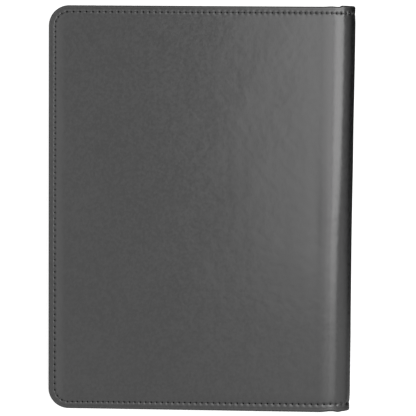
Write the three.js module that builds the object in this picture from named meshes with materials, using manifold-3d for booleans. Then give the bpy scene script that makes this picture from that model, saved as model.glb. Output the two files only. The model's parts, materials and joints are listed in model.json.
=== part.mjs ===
// A stitched leather document portfolio for A4 sheets, closed and lying on its front cover.
// Two padded covers are joined by a soft rolled spine. Inside the front cover are a document pocket with
// a bellows gusset, three stepped card pockets and an elastic pen loop. Inside the back cover a writing
// pad hangs by its backing board in a full-width pocket.
// Millimetres. +Z is up, +Y is the head of the portfolio and +X is the spine side. The origin is on the
// table, below the middle of the closed portfolio.
import * as THREE from "three";
import { mergeVertices } from "three/addons/utils/BufferGeometryUtils.js";
import Module from "manifold-3d";

const wasm = await Module();
wasm.setup();

// The sheet that the portfolio is cut for, and the margins round it.
const SHEET_WIDTH = 210;
const SHEET_HEIGHT = 297;
const FORE_MARGIN = 6.8; // fore-edge of the cover to the sheet
const HEAD_MARGIN = 11.5; // head or foot of the cover to the sheet
const SHEET_OVER_ROLL = 1.8; // how far the sheet reaches past the start of the spine's roll

// The build-up of a cover, from the outside inwards. Each layer keeps a glue line to the next.
const LEATHER = 1;
const FOAM = 1;
const BOARD = 1.5;
const TURN_IN = 0.6; // leather skived thin where it is folded in behind the board
const LINING = 0.5;
const SPINE_REINFORCEMENT = 0.6;
const GLUE_LINE = 0.1;

// The outline of a cover.
const CORNER_RADIUS = 16;
const EDGE_RADIUS = 1.6; // outer edge, where the leather folds round the board
const TURN_IN_WIDTH = 12;
const LINING_MARGIN = 1.6; // cover edge to the edge of the lining
const FOAM_STEP = 0.4; // width of the step where the foam thickens past the board's edge
const HINGE_GAP = 0.3; // slit between a cover and the spine at a hinge line

// The document pocket inside the front cover.
const POCKET_SPACE = 4.5; // clear height for papers
const POCKET_PANEL = 0.7;
const POCKET_OVERHANG = 3.9; // sheet to the spine edge of the pocket panel
const POCKET_SPINE_CORNER = 6;
const THUMB_NOTCH_RADIUS = 15;
const THUMB_NOTCH_DEPTH = 9;
const GUSSET_FOLD = 3; // how far the bellows folds in
const GUSSET_SKIN = 0.6;

// The card pockets on the document pocket.
const CARD_WIDTH = 85.6;
const CARD_SEAM = 5.2;
const CARD_PANEL = 0.6;
const CARD_POCKETS = 3;
const CARD_STEP = 12; // how much of each pocket shows above the one in front
const CARD_FRONT_HEIGHT = 46;
const CARD_FORE_MARGIN = 12.9; // edge of the lining to the card pockets
const CARD_HEAD_MARGIN = 22; // mouth of the document pocket to the highest card pocket
const CARD_CORNER_RADIUS = 3;

// The pen loop, which stands in the gutter of the spine when the portfolio is closed.
const PEN_LOOP_BORE = 9;
const ELASTIC = 1.2;
const PEN_LOOP_LENGTH = 30;
const PEN_LOOP_CLEARANCE = 1.3; // loop to the flat of either lining
const PEN_LOOP_SPINE_GAP = 3.4; // loop to the lining of the spine
const PEN_LOOP_PAD_GAP = 1.3; // loop to the pocket of the writing pad
const PEN_LOOP_HEAD_MARGIN = 45.4; // head of the cover to the loop
const PEN_LOOP_ABOVE_POCKET = 10;
const PEN_LOOP_FILLET = 2; // where the band leaves the pen and turns into its sewn end
const PEN_TAB_SHEET_GAP = 1; // sheet to the sewn end of the loop

// The writing pad and the pocket that holds it inside the back cover.
const PAD_PAPER = 3.9;
const PAD_BACKING = 0.8;
const PAD_TAPE = 0.2;
const PAD_TAPE_FLAP = 14;
const PAD_HEAD_EXPOSED = 20.5; // head of the pad to the mouth of its pocket
const PAD_SIDE_CLEARANCE = 0.6; // backing board to the welt of the pocket
const PAD_FACE_CLEARANCE = 0.3; // paper to the pocket panel
const PAD_BACKING_CLEARANCE = 0.2; // pocket panel to the backing board
const PAD_FOOT_CLEARANCE = 1.6;
const WELT_WIDTH = 4.5;
const SEAT_GAP = 0.2; // the welt to the curved lining above it

const CONTENT_CLEARANCE = 0.4; // writing pad to card pockets when closed
const LEAST_RADIUS = 0.5;

// Facets of the curved stretches.
const CORNER_STEPS = 12;
const EDGE_STEPS = 5;
const ROLL_STEPS = 14;
const SPINE_STEPS = 16;
const LOOP_STEPS = 32;

const MERGE_TOLERANCE = 1e-4;
const BISECTIONS = 40;
const CUT_OVERRUN = 4; // how far a cut runs past a hinge slit, in half slits

// Sizes that follow from the ones above.
const COVER_BUILD = LEATHER + FOAM + BOARD + TURN_IN + LINING + 4 * GLUE_LINE;
const ROLL_BUILD = LEATHER + SPINE_REINFORCEMENT + TURN_IN + LINING + 3 * GLUE_LINE;
const PEN_LOOP_OUTER = PEN_LOOP_BORE + 2 * ELASTIC;
const PAD_SPINE_EDGE = PAD_SIDE_CLEARANCE + WELT_WIDTH;
const SPINE_GUTTER = PAD_SPINE_EDGE + PEN_LOOP_PAD_GAP + PEN_LOOP_OUTER + PEN_LOOP_SPINE_GAP + ROLL_BUILD;
const COVER_WIDTH = FORE_MARGIN + SHEET_WIDTH + SPINE_GUTTER;
const COVER_HEIGHT = SHEET_HEIGHT + 2 * HEAD_MARGIN;
const POCKET_STACK = POCKET_SPACE + POCKET_PANEL + CARD_POCKETS * (CARD_PANEL + GLUE_LINE);
const PAD_STACK = PAD_PAPER + PAD_FACE_CLEARANCE + POCKET_PANEL + PAD_BACKING_CLEARANCE
  + PAD_BACKING + PAD_TAPE + 2 * GLUE_LINE;
const INNER_HEIGHT = Math.max(
  POCKET_STACK + CONTENT_CLEARANCE + PAD_STACK,
  PEN_LOOP_OUTER + 2 * PEN_LOOP_CLEARANCE,
);
const CLOSED_THICKNESS = 2 * COVER_BUILD + INNER_HEIGHT;

const FORE_X = -COVER_WIDTH / 2;
const SPINE_X = COVER_WIDTH / 2;
const HEAD_Y = COVER_HEIGHT / 2;
const MIDDLE_Z = CLOSED_THICKNESS / 2;

// The spine is half an ellipse in section, from the crease at the edge of one cover's board to the other.
// Its hinge lines lie where the skin is as far inside the spine's outer plane as it is inside the cover's,
// so that the portfolio opens flat on the table.
const ROLL_DEPTH = SPINE_GUTTER + SHEET_OVER_ROLL;
const ROLL_HALF_HEIGHT = CLOSED_THICKNESS / 2;
const CREASE_X = SPINE_X - ROLL_DEPTH;
const HINGE_ANGLE = Math.atan2(ROLL_HALF_HEIGHT, ROLL_DEPTH)
  + Math.asin((ROLL_DEPTH - ROLL_HALF_HEIGHT) / Math.hypot(ROLL_DEPTH, ROLL_HALF_HEIGHT));

const material = (color, roughness) =>
  new THREE.MeshStandardMaterial({ color, roughness, metalness: 0 });
const coverLeather = material(0x4b4b4b, 0.5);
const pocketLeather = material(0x444444, 0.55);
const blackFoam = material(0x2b2b2b, 0.95);
const greyboard = material(0x8d8a84, 0.9);
const liningCloth = material(0x2f2f31, 0.85);
const elasticBand = material(0x1d1d1f, 0.9);
const paper = material(0xf4f2ea, 0.9);
const cardboard = material(0x9a8f7c, 0.9);
const bindingTape = material(0x2c2c2e, 0.7);

// A solid whose shared corners are merged, ready to be cut or joined.
function solidOf(geometry) {
  const plain = geometry.clone();
  plain.deleteAttribute("normal");
  plain.deleteAttribute("uv");
  const merged = mergeVertices(plain, MERGE_TOLERANCE);
  return new wasm.Manifold(new wasm.Mesh({
    numProp: 3,
    vertProperties: new Float32Array(merged.attributes.position.array),
    triVerts: new Uint32Array(merged.index.array),
  }));
}

function indexedGeometry(points, faces) {
  const geometry = new THREE.BufferGeometry();
  geometry.setAttribute("position", new THREE.BufferAttribute(new Float32Array(points), 3));
  geometry.setIndex(new THREE.BufferAttribute(new Uint32Array(faces), 1));
  geometry.computeVertexNormals();
  return geometry;
}

function geometryOf(solid) {
  const mesh = solid.getMesh();
  return indexedGeometry(mesh.vertProperties, mesh.triVerts);
}

function piece(name, geometry, finish) {
  const mesh = new THREE.Mesh(geometry, finish);
  mesh.name = name;
  return mesh;
}

// A station of the skin: a point of its outer face, the direction into the cover, and how far it is
// round the roll, from 0 on the flat cover to 1 at the hinge line and all over the spine.
function flatStation(x, y) {
  return { x, y, z: CLOSED_THICKNESS, inX: 0, inZ: -1, round: 0, flat: true };
}

function rollStation(angle, y, round) {
  const outX = ROLL_HALF_HEIGHT * Math.sin(angle);
  const outZ = ROLL_DEPTH * Math.cos(angle);
  const length = Math.hypot(outX, outZ);
  return {
    x: CREASE_X + ROLL_DEPTH * Math.sin(angle),
    y,
    z: MIDDLE_Z + ROLL_HALF_HEIGHT * Math.cos(angle),
    inX: -outX / length,
    inZ: -outZ / length,
    round,
    flat: false,
  };
}

const coverRollStation = (angle, y) => rollStation(angle, y, Math.min(1, angle / HINGE_ANGLE));

// Length of skin per radian of roll at the hinge line, which turns a gap into an angle.
const SKIN_PER_RADIAN = Math.hypot(
  ROLL_DEPTH * Math.cos(HINGE_ANGLE),
  ROLL_HALF_HEIGHT * Math.sin(HINGE_ANGLE),
);
const HALF_SLIT = HINGE_GAP / 2 / SKIN_PER_RADIAN;
const OVERRUN_ANGLE = CUT_OVERRUN * HALF_SLIT;

// Depths below the outer face. A cover thins from its full build to the roll's as it nears the hinge.
const buildAt = (station) => {
  const smooth = station.round * station.round * (3 - 2 * station.round);
  return COVER_BUILD + (ROLL_BUILD - COVER_BUILD) * smooth;
};
const leatherInner = () => LEATHER;
const liningOuter = (station) => buildAt(station) - LINING;
const turnInInner = (station) => liningOuter(station) - GLUE_LINE;
const turnInOuter = (station) => turnInInner(station) - TURN_IN;
const foamOuter = () => LEATHER + GLUE_LINE;
const foamInner = (station) => (station.flat ? foamOuter() + FOAM : turnInOuter(station) - GLUE_LINE);
const boardOuter = () => foamOuter() + FOAM + GLUE_LINE;
const boardInner = () => boardOuter() + BOARD;
const reinforcementInner = () => foamOuter() + SPINE_REINFORCEMENT;

// The head half of each outline runs from the hinge side to the middle of the fore-edge, moved in by an
// inset. The foot half is its mirror image.
function foreCorner(inset) {
  const radius = Math.max(CORNER_RADIUS - inset, LEAST_RADIUS);
  const centreX = FORE_X + inset + radius;
  const centreY = HEAD_Y - inset - radius;
  const stations = [];
  for (let i = 0; i <= CORNER_STEPS; i++) {
    const turn = (Math.PI / 2) * (1 + i / CORNER_STEPS);
    stations.push(flatStation(centreX + radius * Math.cos(turn), centreY + radius * Math.sin(turn)));
  }
  return stations;
}

function coverOutline(inset, overrun = 0) {
  const head = HEAD_Y - inset;
  const end = HINGE_ANGLE - HALF_SLIT + overrun;
  const stations = [];
  for (let i = ROLL_STEPS; i >= 0; i--) stations.push(coverRollStation((end * i) / ROLL_STEPS, head));
  stations.push(flatStation(CREASE_X - FOAM_STEP, head));
  return stations.concat(foreCorner(inset));
}

function boardOutline(inset) {
  const edge = flatStation(CREASE_X - FOAM_STEP - GLUE_LINE, HEAD_Y - inset);
  return [edge].concat(foreCorner(inset));
}

function spineOutline(inset, overrun = 0) {
  const end = HINGE_ANGLE + HALF_SLIT - overrun;
  const stations = [];
  for (let i = 0; i <= SPINE_STEPS; i++) {
    const angle = Math.PI - end + ((2 * end - Math.PI) * i) / SPINE_STEPS;
    stations.push(rollStation(angle, HEAD_Y - inset, 1));
  }
  return stations;
}

const ring = (outline, depth) => outline.map((s) => {
  const d = depth(s);
  return [s.x + s.inX * d, s.y, s.z + s.inZ * d];
});

// A closed solid through rings of head-side points. Each ring is completed by its mirror image at the
// foot, and the first and last rings are closed by strips that run straight across from head to foot.
function ringSolid(rings) {
  const half = rings[0].length;
  const loop = 2 * half;
  const points = [];
  for (const r of rings) {
    for (const [x, y, z] of r) points.push(x, y, z);
    for (let k = half - 1; k >= 0; k--) points.push(r[k][0], -r[k][1], r[k][2]);
  }
  const faces = [];
  const quad = (a, b, c, d) => faces.push(a, b, c, a, c, d);
  for (let j = 0; j + 1 < rings.length; j++) {
    for (let i = 0; i < loop; i++) {
      const next = (i + 1) % loop;
      quad(j * loop + i, (j + 1) * loop + i, (j + 1) * loop + next, j * loop + next);
    }
  }
  const last = (rings.length - 1) * loop;
  for (let k = 0; k + 1 < half; k++) {
    quad(k, k + 1, loop - 2 - k, loop - 1 - k);
    quad(last + loop - 1 - k, last + loop - 2 - k, last + k + 1, last + k);
  }
  return solidOf(indexedGeometry(points, faces));
}

const layer = (outline, outer, inner) => ringSolid([ring(outline, outer), ring(outline, inner)]);

// Leather with a rounded outer edge that turns in behind the board along every free edge. The cuts run
// on past the hinge slits, so that the skin is open there.
function turnedLeather(outline) {
  const rings = [];
  for (let i = 0; i <= EDGE_STEPS; i++) {
    const turn = (Math.PI / 2) * (i / EDGE_STEPS);
    const inset = EDGE_RADIUS * (1 - Math.sin(turn));
    rings.push(ring(outline(inset), () => EDGE_RADIUS * (1 - Math.cos(turn))));
  }
  rings.push(ring(outline(0), turnInInner));
  const filling = layer(outline(LEATHER, OVERRUN_ANGLE), leatherInner, turnInOuter);
  const window = layer(
    outline(TURN_IN_WIDTH, OVERRUN_ANGLE),
    (s) => turnInOuter(s) - TURN_IN / 2,
    (s) => turnInInner(s) + TURN_IN,
  );
  return ringSolid(rings).subtract(filling).subtract(window);
}

function coverLayers() {
  const filled = LEATHER + GLUE_LINE;
  return {
    leather: turnedLeather(coverOutline),
    foam: layer(coverOutline(filled), foamOuter, foamInner),
    board: layer(boardOutline(filled), boardOuter, boardInner),
    lining: layer(coverOutline(LINING_MARGIN), liningOuter, buildAt),
  };
}

function spineLayers() {
  return {
    leather: turnedLeather(spineOutline),
    reinforcement: layer(spineOutline(LEATHER + GLUE_LINE), foamOuter, reinforcementInner),
    lining: layer(spineOutline(LINING_MARGIN), liningOuter, buildAt),
  };
}

// The front cover's layers mirror the back cover's, below the middle plane.
const mirrored = (solid) => solid.mirror([0, 0, 1]).translate([0, 0, CLOSED_THICKNESS]);

// How far the inner face of a lining lies inside the cover's outer plane, at a place across the cover.
function liningFaceDepth(x) {
  const face = (angle) => ring([coverRollStation(angle, 0)], buildAt)[0];
  if (x <= CREASE_X) return COVER_BUILD;
  let low = 0;
  let high = HINGE_ANGLE;
  for (let i = 0; i < BISECTIONS; i++) {
    const middle = (low + high) / 2;
    if (face(middle)[0] < x) low = middle;
    else high = middle;
  }
  return CLOSED_THICKNESS - face(low)[2];
}

// A flat plate from an outline in X and Y.
function plate(shape, lowZ, thickness) {
  const geometry = new THREE.ExtrudeGeometry(shape, {
    depth: thickness,
    bevelEnabled: false,
    curveSegments: CORNER_STEPS,
  });
  geometry.translate(0, 0, lowZ);
  return geometry;
}

// A section in Y and Z, run across the portfolio along X.
function runAlongX(shape, x0, x1) {
  const geometry = new THREE.ExtrudeGeometry(shape, { depth: x1 - x0, bevelEnabled: false });
  geometry.rotateX(Math.PI / 2);
  geometry.rotateZ(Math.PI / 2);
  geometry.translate(x0, 0, 0);
  return geometry;
}

// A section in X and Z, run from foot to head along Y.
function runAlongY(shape, y0, y1) {
  const geometry = new THREE.ExtrudeGeometry(shape, {
    depth: y1 - y0,
    bevelEnabled: false,
    curveSegments: LOOP_STEPS,
  });
  geometry.rotateX(Math.PI / 2);
  geometry.translate(0, y1, 0);
  return geometry;
}

function polygon(points) {
  return new THREE.Shape(points.map(([u, v]) => new THREE.Vector2(u, v)));
}

// A sheet whose fore-edge and spine-edge corners have their own radii, at the head and at the foot.
function roundedSheet(edges, radii) {
  const { left, right, foot, head } = edges;
  const shape = new THREE.Shape();
  const corner = (x, y, radius, from) => {
    if (radius > 0) shape.absarc(x, y, radius, from, from + Math.PI / 2, false);
    else shape.lineTo(x, y);
  };
  shape.moveTo(right - radii.spineHead, head);
  corner(left + radii.foreHead, head - radii.foreHead, radii.foreHead, Math.PI / 2);
  corner(left + radii.foreFoot, foot + radii.foreFoot, radii.foreFoot, Math.PI);
  corner(right - radii.spineFoot, foot + radii.spineFoot, radii.spineFoot, -Math.PI / 2);
  corner(right - radii.spineHead, head - radii.spineHead, radii.spineHead, 0);
  return shape;
}

// Places shared by the pockets, the pen loop and the pad.
const SHEET_LEFT = FORE_X + FORE_MARGIN;
const SHEET_RIGHT = SHEET_LEFT + SHEET_WIDTH;
const PEN_LOOP_HEAD = HEAD_Y - PEN_LOOP_HEAD_MARGIN;
const PEN_LOOP_FOOT = PEN_LOOP_HEAD - PEN_LOOP_LENGTH;
const POCKET_LEFT = FORE_X + LINING_MARGIN;
const POCKET_RIGHT = SHEET_RIGHT + POCKET_OVERHANG;
const POCKET_FOOT = -HEAD_Y + LINING_MARGIN;
const POCKET_MOUTH = PEN_LOOP_FOOT - PEN_LOOP_ABOVE_POCKET;
const POCKET_CORNER = Math.max(CORNER_RADIUS - LINING_MARGIN, LEAST_RADIUS);
const POCKET_UNDERSIDE = COVER_BUILD + POCKET_SPACE;
const POCKET_TOP = POCKET_UNDERSIDE + POCKET_PANEL;
const POCKET_RADII = { foreHead: 0, foreFoot: POCKET_CORNER, spineFoot: POCKET_SPINE_CORNER, spineHead: 0 };

function documentPocketPanel() {
  const middle = (POCKET_LEFT + POCKET_RIGHT) / 2;
  const edges = { left: POCKET_LEFT, right: POCKET_RIGHT, foot: POCKET_FOOT, head: POCKET_MOUTH };
  const notch = new THREE.Shape();
  notch.absarc(middle, POCKET_MOUTH + THUMB_NOTCH_RADIUS - THUMB_NOTCH_DEPTH, THUMB_NOTCH_RADIUS,
    0, 2 * Math.PI, false);
  const panel = solidOf(plate(roundedSheet(edges, POCKET_RADII), POCKET_UNDERSIDE, POCKET_PANEL));
  const cut = solidOf(plate(notch, POCKET_UNDERSIDE - POCKET_PANEL, 3 * POCKET_PANEL));
  return geometryOf(panel.subtract(cut));
}

// The pocket's edge from the mouth at the fore-edge, round the foot, to the mouth at the spine edge.
// Each station has the direction into the pocket.
function pocketEdge(inset) {
  const stations = [];
  const corner = (x, y, radius, from) => {
    for (let i = 0; i <= CORNER_STEPS; i++) {
      const turn = from + (Math.PI / 2) * (i / CORNER_STEPS);
      const outX = Math.cos(turn);
      const outY = Math.sin(turn);
      stations.push({ x: x + (radius - inset) * outX, y: y + (radius - inset) * outY, inX: -outX, inY: -outY });
    }
  };
  stations.push({ x: POCKET_LEFT + inset, y: POCKET_MOUTH, inX: 1, inY: 0 });
  corner(POCKET_LEFT + POCKET_CORNER, POCKET_FOOT + POCKET_CORNER, POCKET_CORNER, Math.PI);
  corner(POCKET_RIGHT - POCKET_SPINE_CORNER, POCKET_FOOT + POCKET_SPINE_CORNER, POCKET_SPINE_CORNER,
    -Math.PI / 2);
  stations.push({ x: POCKET_RIGHT - inset, y: POCKET_MOUTH, inX: -1, inY: 0 });
  return stations;
}

// The bellows: thin leather in a V fold, open outwards, that joins the pocket panel to the lining along
// the three sewn sides.
function documentPocketGusset() {
  const low = Math.max(liningFaceDepth(POCKET_RIGHT), COVER_BUILD) + GLUE_LINE;
  const high = POCKET_UNDERSIDE - GLUE_LINE;
  const middle = (low + high) / 2;
  const slanted = (GUSSET_SKIN * Math.hypot(GUSSET_FOLD, middle - low)) / GUSSET_FOLD / 2;
  const section = [
    [0, low],
    [GUSSET_SKIN, low],
    [GUSSET_FOLD, middle - GUSSET_SKIN / 2],
    [GUSSET_FOLD, middle + GUSSET_SKIN / 2],
    [GUSSET_SKIN, high],
    [0, high],
    [0, high - slanted],
    [GUSSET_FOLD - GUSSET_SKIN, middle],
    [0, low + slanted],
  ];
  return sweep(section, pocketEdge(GLUE_LINE));
}

// A section of inward distance and height, swept along stations, with flat ends.
function sweep(section, stations) {
  const size = section.length;
  const points = [];
  for (const s of stations) {
    for (const [inwards, z] of section) points.push(s.x + s.inX * inwards, s.y + s.inY * inwards, z);
  }
  const faces = [];
  for (let j = 0; j + 1 < stations.length; j++) {
    for (let i = 0; i < size; i++) {
      const a = j * size + i;
      const b = j * size + ((i + 1) % size);
      faces.push(a, b, b + size, a, b + size, a + size);
    }
  }
  const last = (stations.length - 1) * size;
  const flat = section.map(([u, v]) => new THREE.Vector2(u, v));
  for (const [a, b, c] of THREE.ShapeUtils.triangulateShape(flat, [])) {
    faces.push(a, c, b, last + a, last + b, last + c);
  }
  return geometryOf(solidOf(indexedGeometry(points, faces)));
}

// Card pocket 0 is the tallest, at the back of the stack.
function cardPocket(index) {
  const left = POCKET_LEFT + CARD_FORE_MARGIN;
  const highest = POCKET_MOUTH - CARD_HEAD_MARGIN;
  const edges = {
    left,
    right: left + CARD_WIDTH + 2 * CARD_SEAM,
    foot: highest - (CARD_POCKETS - 1) * CARD_STEP - CARD_FRONT_HEIGHT,
    head: highest - index * CARD_STEP,
  };
  const low = POCKET_TOP + GLUE_LINE + index * (CARD_PANEL + GLUE_LINE);
  const radii = { foreHead: 0, foreFoot: CARD_CORNER_RADIUS, spineFoot: CARD_CORNER_RADIUS, spineHead: 0 };
  return plate(roundedSheet(edges, radii), low, CARD_PANEL);
}

// An elastic band round the pen, whose two ends lie on each other and are sewn to the lining. Its
// outline runs along the underside, leaves it by a tangent, goes round the pen and comes back to the
// sewn end by a fillet.
function penLoop() {
  const radius = PEN_LOOP_OUTER / 2;
  const centreX = SPINE_X - ROLL_BUILD - PEN_LOOP_SPINE_GAP - radius;
  const centreZ = MIDDLE_Z;
  const tabLeft = SHEET_RIGHT + PEN_TAB_SHEET_GAP;
  const low = liningFaceDepth(centreX - radius) + GLUE_LINE;
  const high = low + 2 * ELASTIC;
  const reach = radius + PEN_LOOP_FILLET;
  const drop = centreZ - high - PEN_LOOP_FILLET;
  const filletX = centreX - Math.sqrt(reach * reach - drop * drop);
  const filletZ = high + PEN_LOOP_FILLET;
  const leave = Math.atan2(low - centreZ, filletX - centreX)
    + Math.acos(radius / Math.hypot(low - centreZ, filletX - centreX));
  const meet = Math.atan2(filletZ - centreZ, filletX - centreX);
  const band = new THREE.Shape();
  band.moveTo(tabLeft, low);
  band.lineTo(filletX, low);
  band.absarc(centreX, centreZ, radius, leave, meet + 2 * Math.PI, false);
  band.absarc(filletX, filletZ, PEN_LOOP_FILLET, meet + Math.PI, -Math.PI / 2, true);
  band.lineTo(tabLeft, high);
  const bore = new THREE.Path();
  bore.absarc(centreX, centreZ, PEN_LOOP_BORE / 2, 0, 2 * Math.PI, true);
  band.holes.push(bore);
  return runAlongY(band, PEN_LOOP_FOOT, PEN_LOOP_HEAD);
}

// Heights inside the back cover, from its lining downwards.
const BACK_LINING = CLOSED_THICKNESS - COVER_BUILD;
const BACKING_TOP = BACK_LINING - PAD_TAPE - 2 * GLUE_LINE;
const BACKING_LOW = BACKING_TOP - PAD_BACKING;
const PAD_POCKET_TOP = BACKING_LOW - PAD_BACKING_CLEARANCE;
const PAD_POCKET_LOW = PAD_POCKET_TOP - POCKET_PANEL;
const PAPER_TOP = PAD_POCKET_LOW - PAD_FACE_CLEARANCE;
const PAPER_LOW = PAPER_TOP - PAD_PAPER;

const PAD_HEAD = SHEET_HEIGHT / 2;
const PAD_FOOT = -PAD_HEAD;
const PAD_POCKET_MOUTH = PAD_HEAD - PAD_HEAD_EXPOSED;
const PAD_POCKET_EDGES = {
  left: POCKET_LEFT,
  right: SHEET_RIGHT + PAD_SPINE_EDGE,
  foot: POCKET_FOOT,
  head: PAD_POCKET_MOUTH,
};

function padPocketPanel() {
  return plate(roundedSheet(PAD_POCKET_EDGES, POCKET_RADII), PAD_POCKET_LOW, POCKET_PANEL);
}

// The folded leather under the three sewn sides of the pad's pocket, which carries its panel clear of
// the lining. The backing board slides in the space that it leaves open.
function padPocketWelt() {
  const low = PAD_POCKET_TOP + GLUE_LINE;
  const high = CLOSED_THICKNESS - Math.max(liningFaceDepth(PAD_POCKET_EDGES.right), COVER_BUILD) - SEAT_GAP;
  const slot = {
    left: SHEET_LEFT - PAD_SIDE_CLEARANCE,
    right: SHEET_RIGHT + PAD_SIDE_CLEARANCE,
    foot: PAD_FOOT - PAD_FOOT_CLEARANCE,
    head: PAD_HEAD,
  };
  const square = { foreHead: 0, foreFoot: 0, spineFoot: 0, spineHead: 0 };
  const full = solidOf(plate(roundedSheet(PAD_POCKET_EDGES, POCKET_RADII), low, high - low));
  const cut = solidOf(plate(roundedSheet(slot, square), low - POCKET_PANEL, high - low + 2 * POCKET_PANEL));
  return geometryOf(full.subtract(cut));
}

function padSlab(low, high) {
  const edges = { left: SHEET_LEFT, right: SHEET_RIGHT, foot: PAD_FOOT, head: PAD_HEAD };
  const square = { foreHead: 0, foreFoot: 0, spineFoot: 0, spineHead: 0 };
  return plate(roundedSheet(edges, square), low, high - low);
}

// A strip of tape folded over the head of the pad, from the top sheet to the back of the board.
function padTape() {
  const inner = PAD_HEAD + GLUE_LINE;
  const outer = inner + PAD_TAPE;
  const flap = PAD_HEAD - PAD_TAPE_FLAP;
  const low = PAPER_LOW - GLUE_LINE;
  const high = BACKING_TOP + GLUE_LINE;
  const section = polygon([
    [flap, low - PAD_TAPE],
    [outer, low - PAD_TAPE],
    [outer, high + PAD_TAPE],
    [flap, high + PAD_TAPE],
    [flap, high],
    [inner, high],
    [inner, low],
    [flap, low],
  ]);
  return runAlongX(section, SHEET_LEFT, SHEET_RIGHT);
}

function frontCover() {
  const group = new THREE.Group();
  const layers = coverLayers();
  group.add(piece("front_leather", geometryOf(mirrored(layers.leather)), coverLeather));
  group.add(piece("front_foam", geometryOf(mirrored(layers.foam)), blackFoam));
  group.add(piece("front_board", geometryOf(mirrored(layers.board)), greyboard));
  group.add(piece("front_lining", geometryOf(mirrored(layers.lining)), liningCloth));
  group.add(piece("document_pocket_panel", documentPocketPanel(), pocketLeather));
  group.add(piece("document_pocket_gusset", documentPocketGusset(), pocketLeather));
  for (let i = 0; i < CARD_POCKETS; i++) {
    group.add(piece(`card_pocket_${i + 1}`, cardPocket(i), pocketLeather));
  }
  group.add(piece("pen_loop", penLoop(), elasticBand));
  return group;
}

function spine() {
  const group = new THREE.Group();
  const layers = spineLayers();
  group.add(piece("spine_leather", geometryOf(layers.leather), coverLeather));
  group.add(piece("spine_reinforcement", geometryOf(layers.reinforcement), blackFoam));
  group.add(piece("spine_lining", geometryOf(layers.lining), liningCloth));
  return group;
}

function backCover() {
  const group = new THREE.Group();
  const layers = coverLayers();
  group.add(piece("back_leather", geometryOf(layers.leather), coverLeather));
  group.add(piece("back_foam", geometryOf(layers.foam), blackFoam));
  group.add(piece("back_board", geometryOf(layers.board), greyboard));
  group.add(piece("back_lining", geometryOf(layers.lining), liningCloth));
  group.add(piece("pad_pocket_panel", padPocketPanel(), pocketLeather));
  group.add(piece("pad_pocket_welt", padPocketWelt(), pocketLeather));
  return group;
}

function writingPad() {
  const group = new THREE.Group();
  group.add(piece("pad_paper_block", padSlab(PAPER_LOW, PAPER_TOP), paper));
  group.add(piece("pad_backing_board", padSlab(BACKING_LOW, BACKING_TOP), cardboard));
  group.add(piece("pad_binding_tape", padTape(), bindingTape));
  return group;
}

const portfolio = new THREE.Group();
portfolio.add(frontCover(), spine(), backCover(), writingPad());

export default portfolio;
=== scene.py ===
"""Render model of a stitched leather document portfolio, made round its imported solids.

It is closed and lies on its front cover, with the spine towards +X and the head towards +Y. Metres, +Z up,
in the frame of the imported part.
"""

import json
import math

import bmesh
import bpy
import numpy as np
from bpy.props import FloatProperty, FloatVectorProperty, IntProperty, PointerProperty
from bpy.types import NodeSocket, Operator, Panel, PropertyGroup
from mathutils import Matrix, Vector, geometry, kdtree


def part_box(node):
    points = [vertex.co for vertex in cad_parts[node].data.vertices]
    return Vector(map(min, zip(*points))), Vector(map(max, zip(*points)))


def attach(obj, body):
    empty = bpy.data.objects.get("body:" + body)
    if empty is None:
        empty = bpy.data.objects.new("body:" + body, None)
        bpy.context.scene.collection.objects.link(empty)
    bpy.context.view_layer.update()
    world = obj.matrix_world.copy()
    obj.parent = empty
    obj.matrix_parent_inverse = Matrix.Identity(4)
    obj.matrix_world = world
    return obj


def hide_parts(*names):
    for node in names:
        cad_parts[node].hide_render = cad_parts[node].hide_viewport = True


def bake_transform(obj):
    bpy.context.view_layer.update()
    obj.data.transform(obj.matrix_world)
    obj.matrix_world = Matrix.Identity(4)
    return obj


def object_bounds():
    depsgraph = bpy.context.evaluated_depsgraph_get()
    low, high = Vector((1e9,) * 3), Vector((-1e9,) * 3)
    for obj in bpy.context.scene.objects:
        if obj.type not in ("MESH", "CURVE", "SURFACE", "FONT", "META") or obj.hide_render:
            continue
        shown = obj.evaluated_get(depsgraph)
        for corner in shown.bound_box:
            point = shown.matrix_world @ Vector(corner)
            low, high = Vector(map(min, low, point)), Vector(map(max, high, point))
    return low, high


bl_info = {
    "name": "Document portfolio",
    "version": (1, 0, 0),
    "blender": (4, 5, 0),
    "location": "3D View > Sidebar > Portfolio",
    "description": "Makes the leather, cloth, paper and stitching of a document portfolio",
    "category": "Object",
}

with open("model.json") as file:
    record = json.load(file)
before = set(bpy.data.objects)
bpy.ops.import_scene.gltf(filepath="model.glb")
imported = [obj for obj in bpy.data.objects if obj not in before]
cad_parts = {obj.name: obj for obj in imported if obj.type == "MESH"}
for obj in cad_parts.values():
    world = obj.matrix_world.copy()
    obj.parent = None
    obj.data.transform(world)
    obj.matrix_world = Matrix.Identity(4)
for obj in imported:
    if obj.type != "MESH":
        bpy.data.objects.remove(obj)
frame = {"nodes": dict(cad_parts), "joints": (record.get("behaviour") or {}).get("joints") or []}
CAD_LOW, CAD_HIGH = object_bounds()

MM = 0.001
BACK, FRONT = 1, -1
SIDE_NAME = {BACK: "back", FRONT: "front"}


def joint_place(name):
    return Vector(next(joint["pos_m"] for joint in frame["joints"] if joint["name"] == name))


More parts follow.
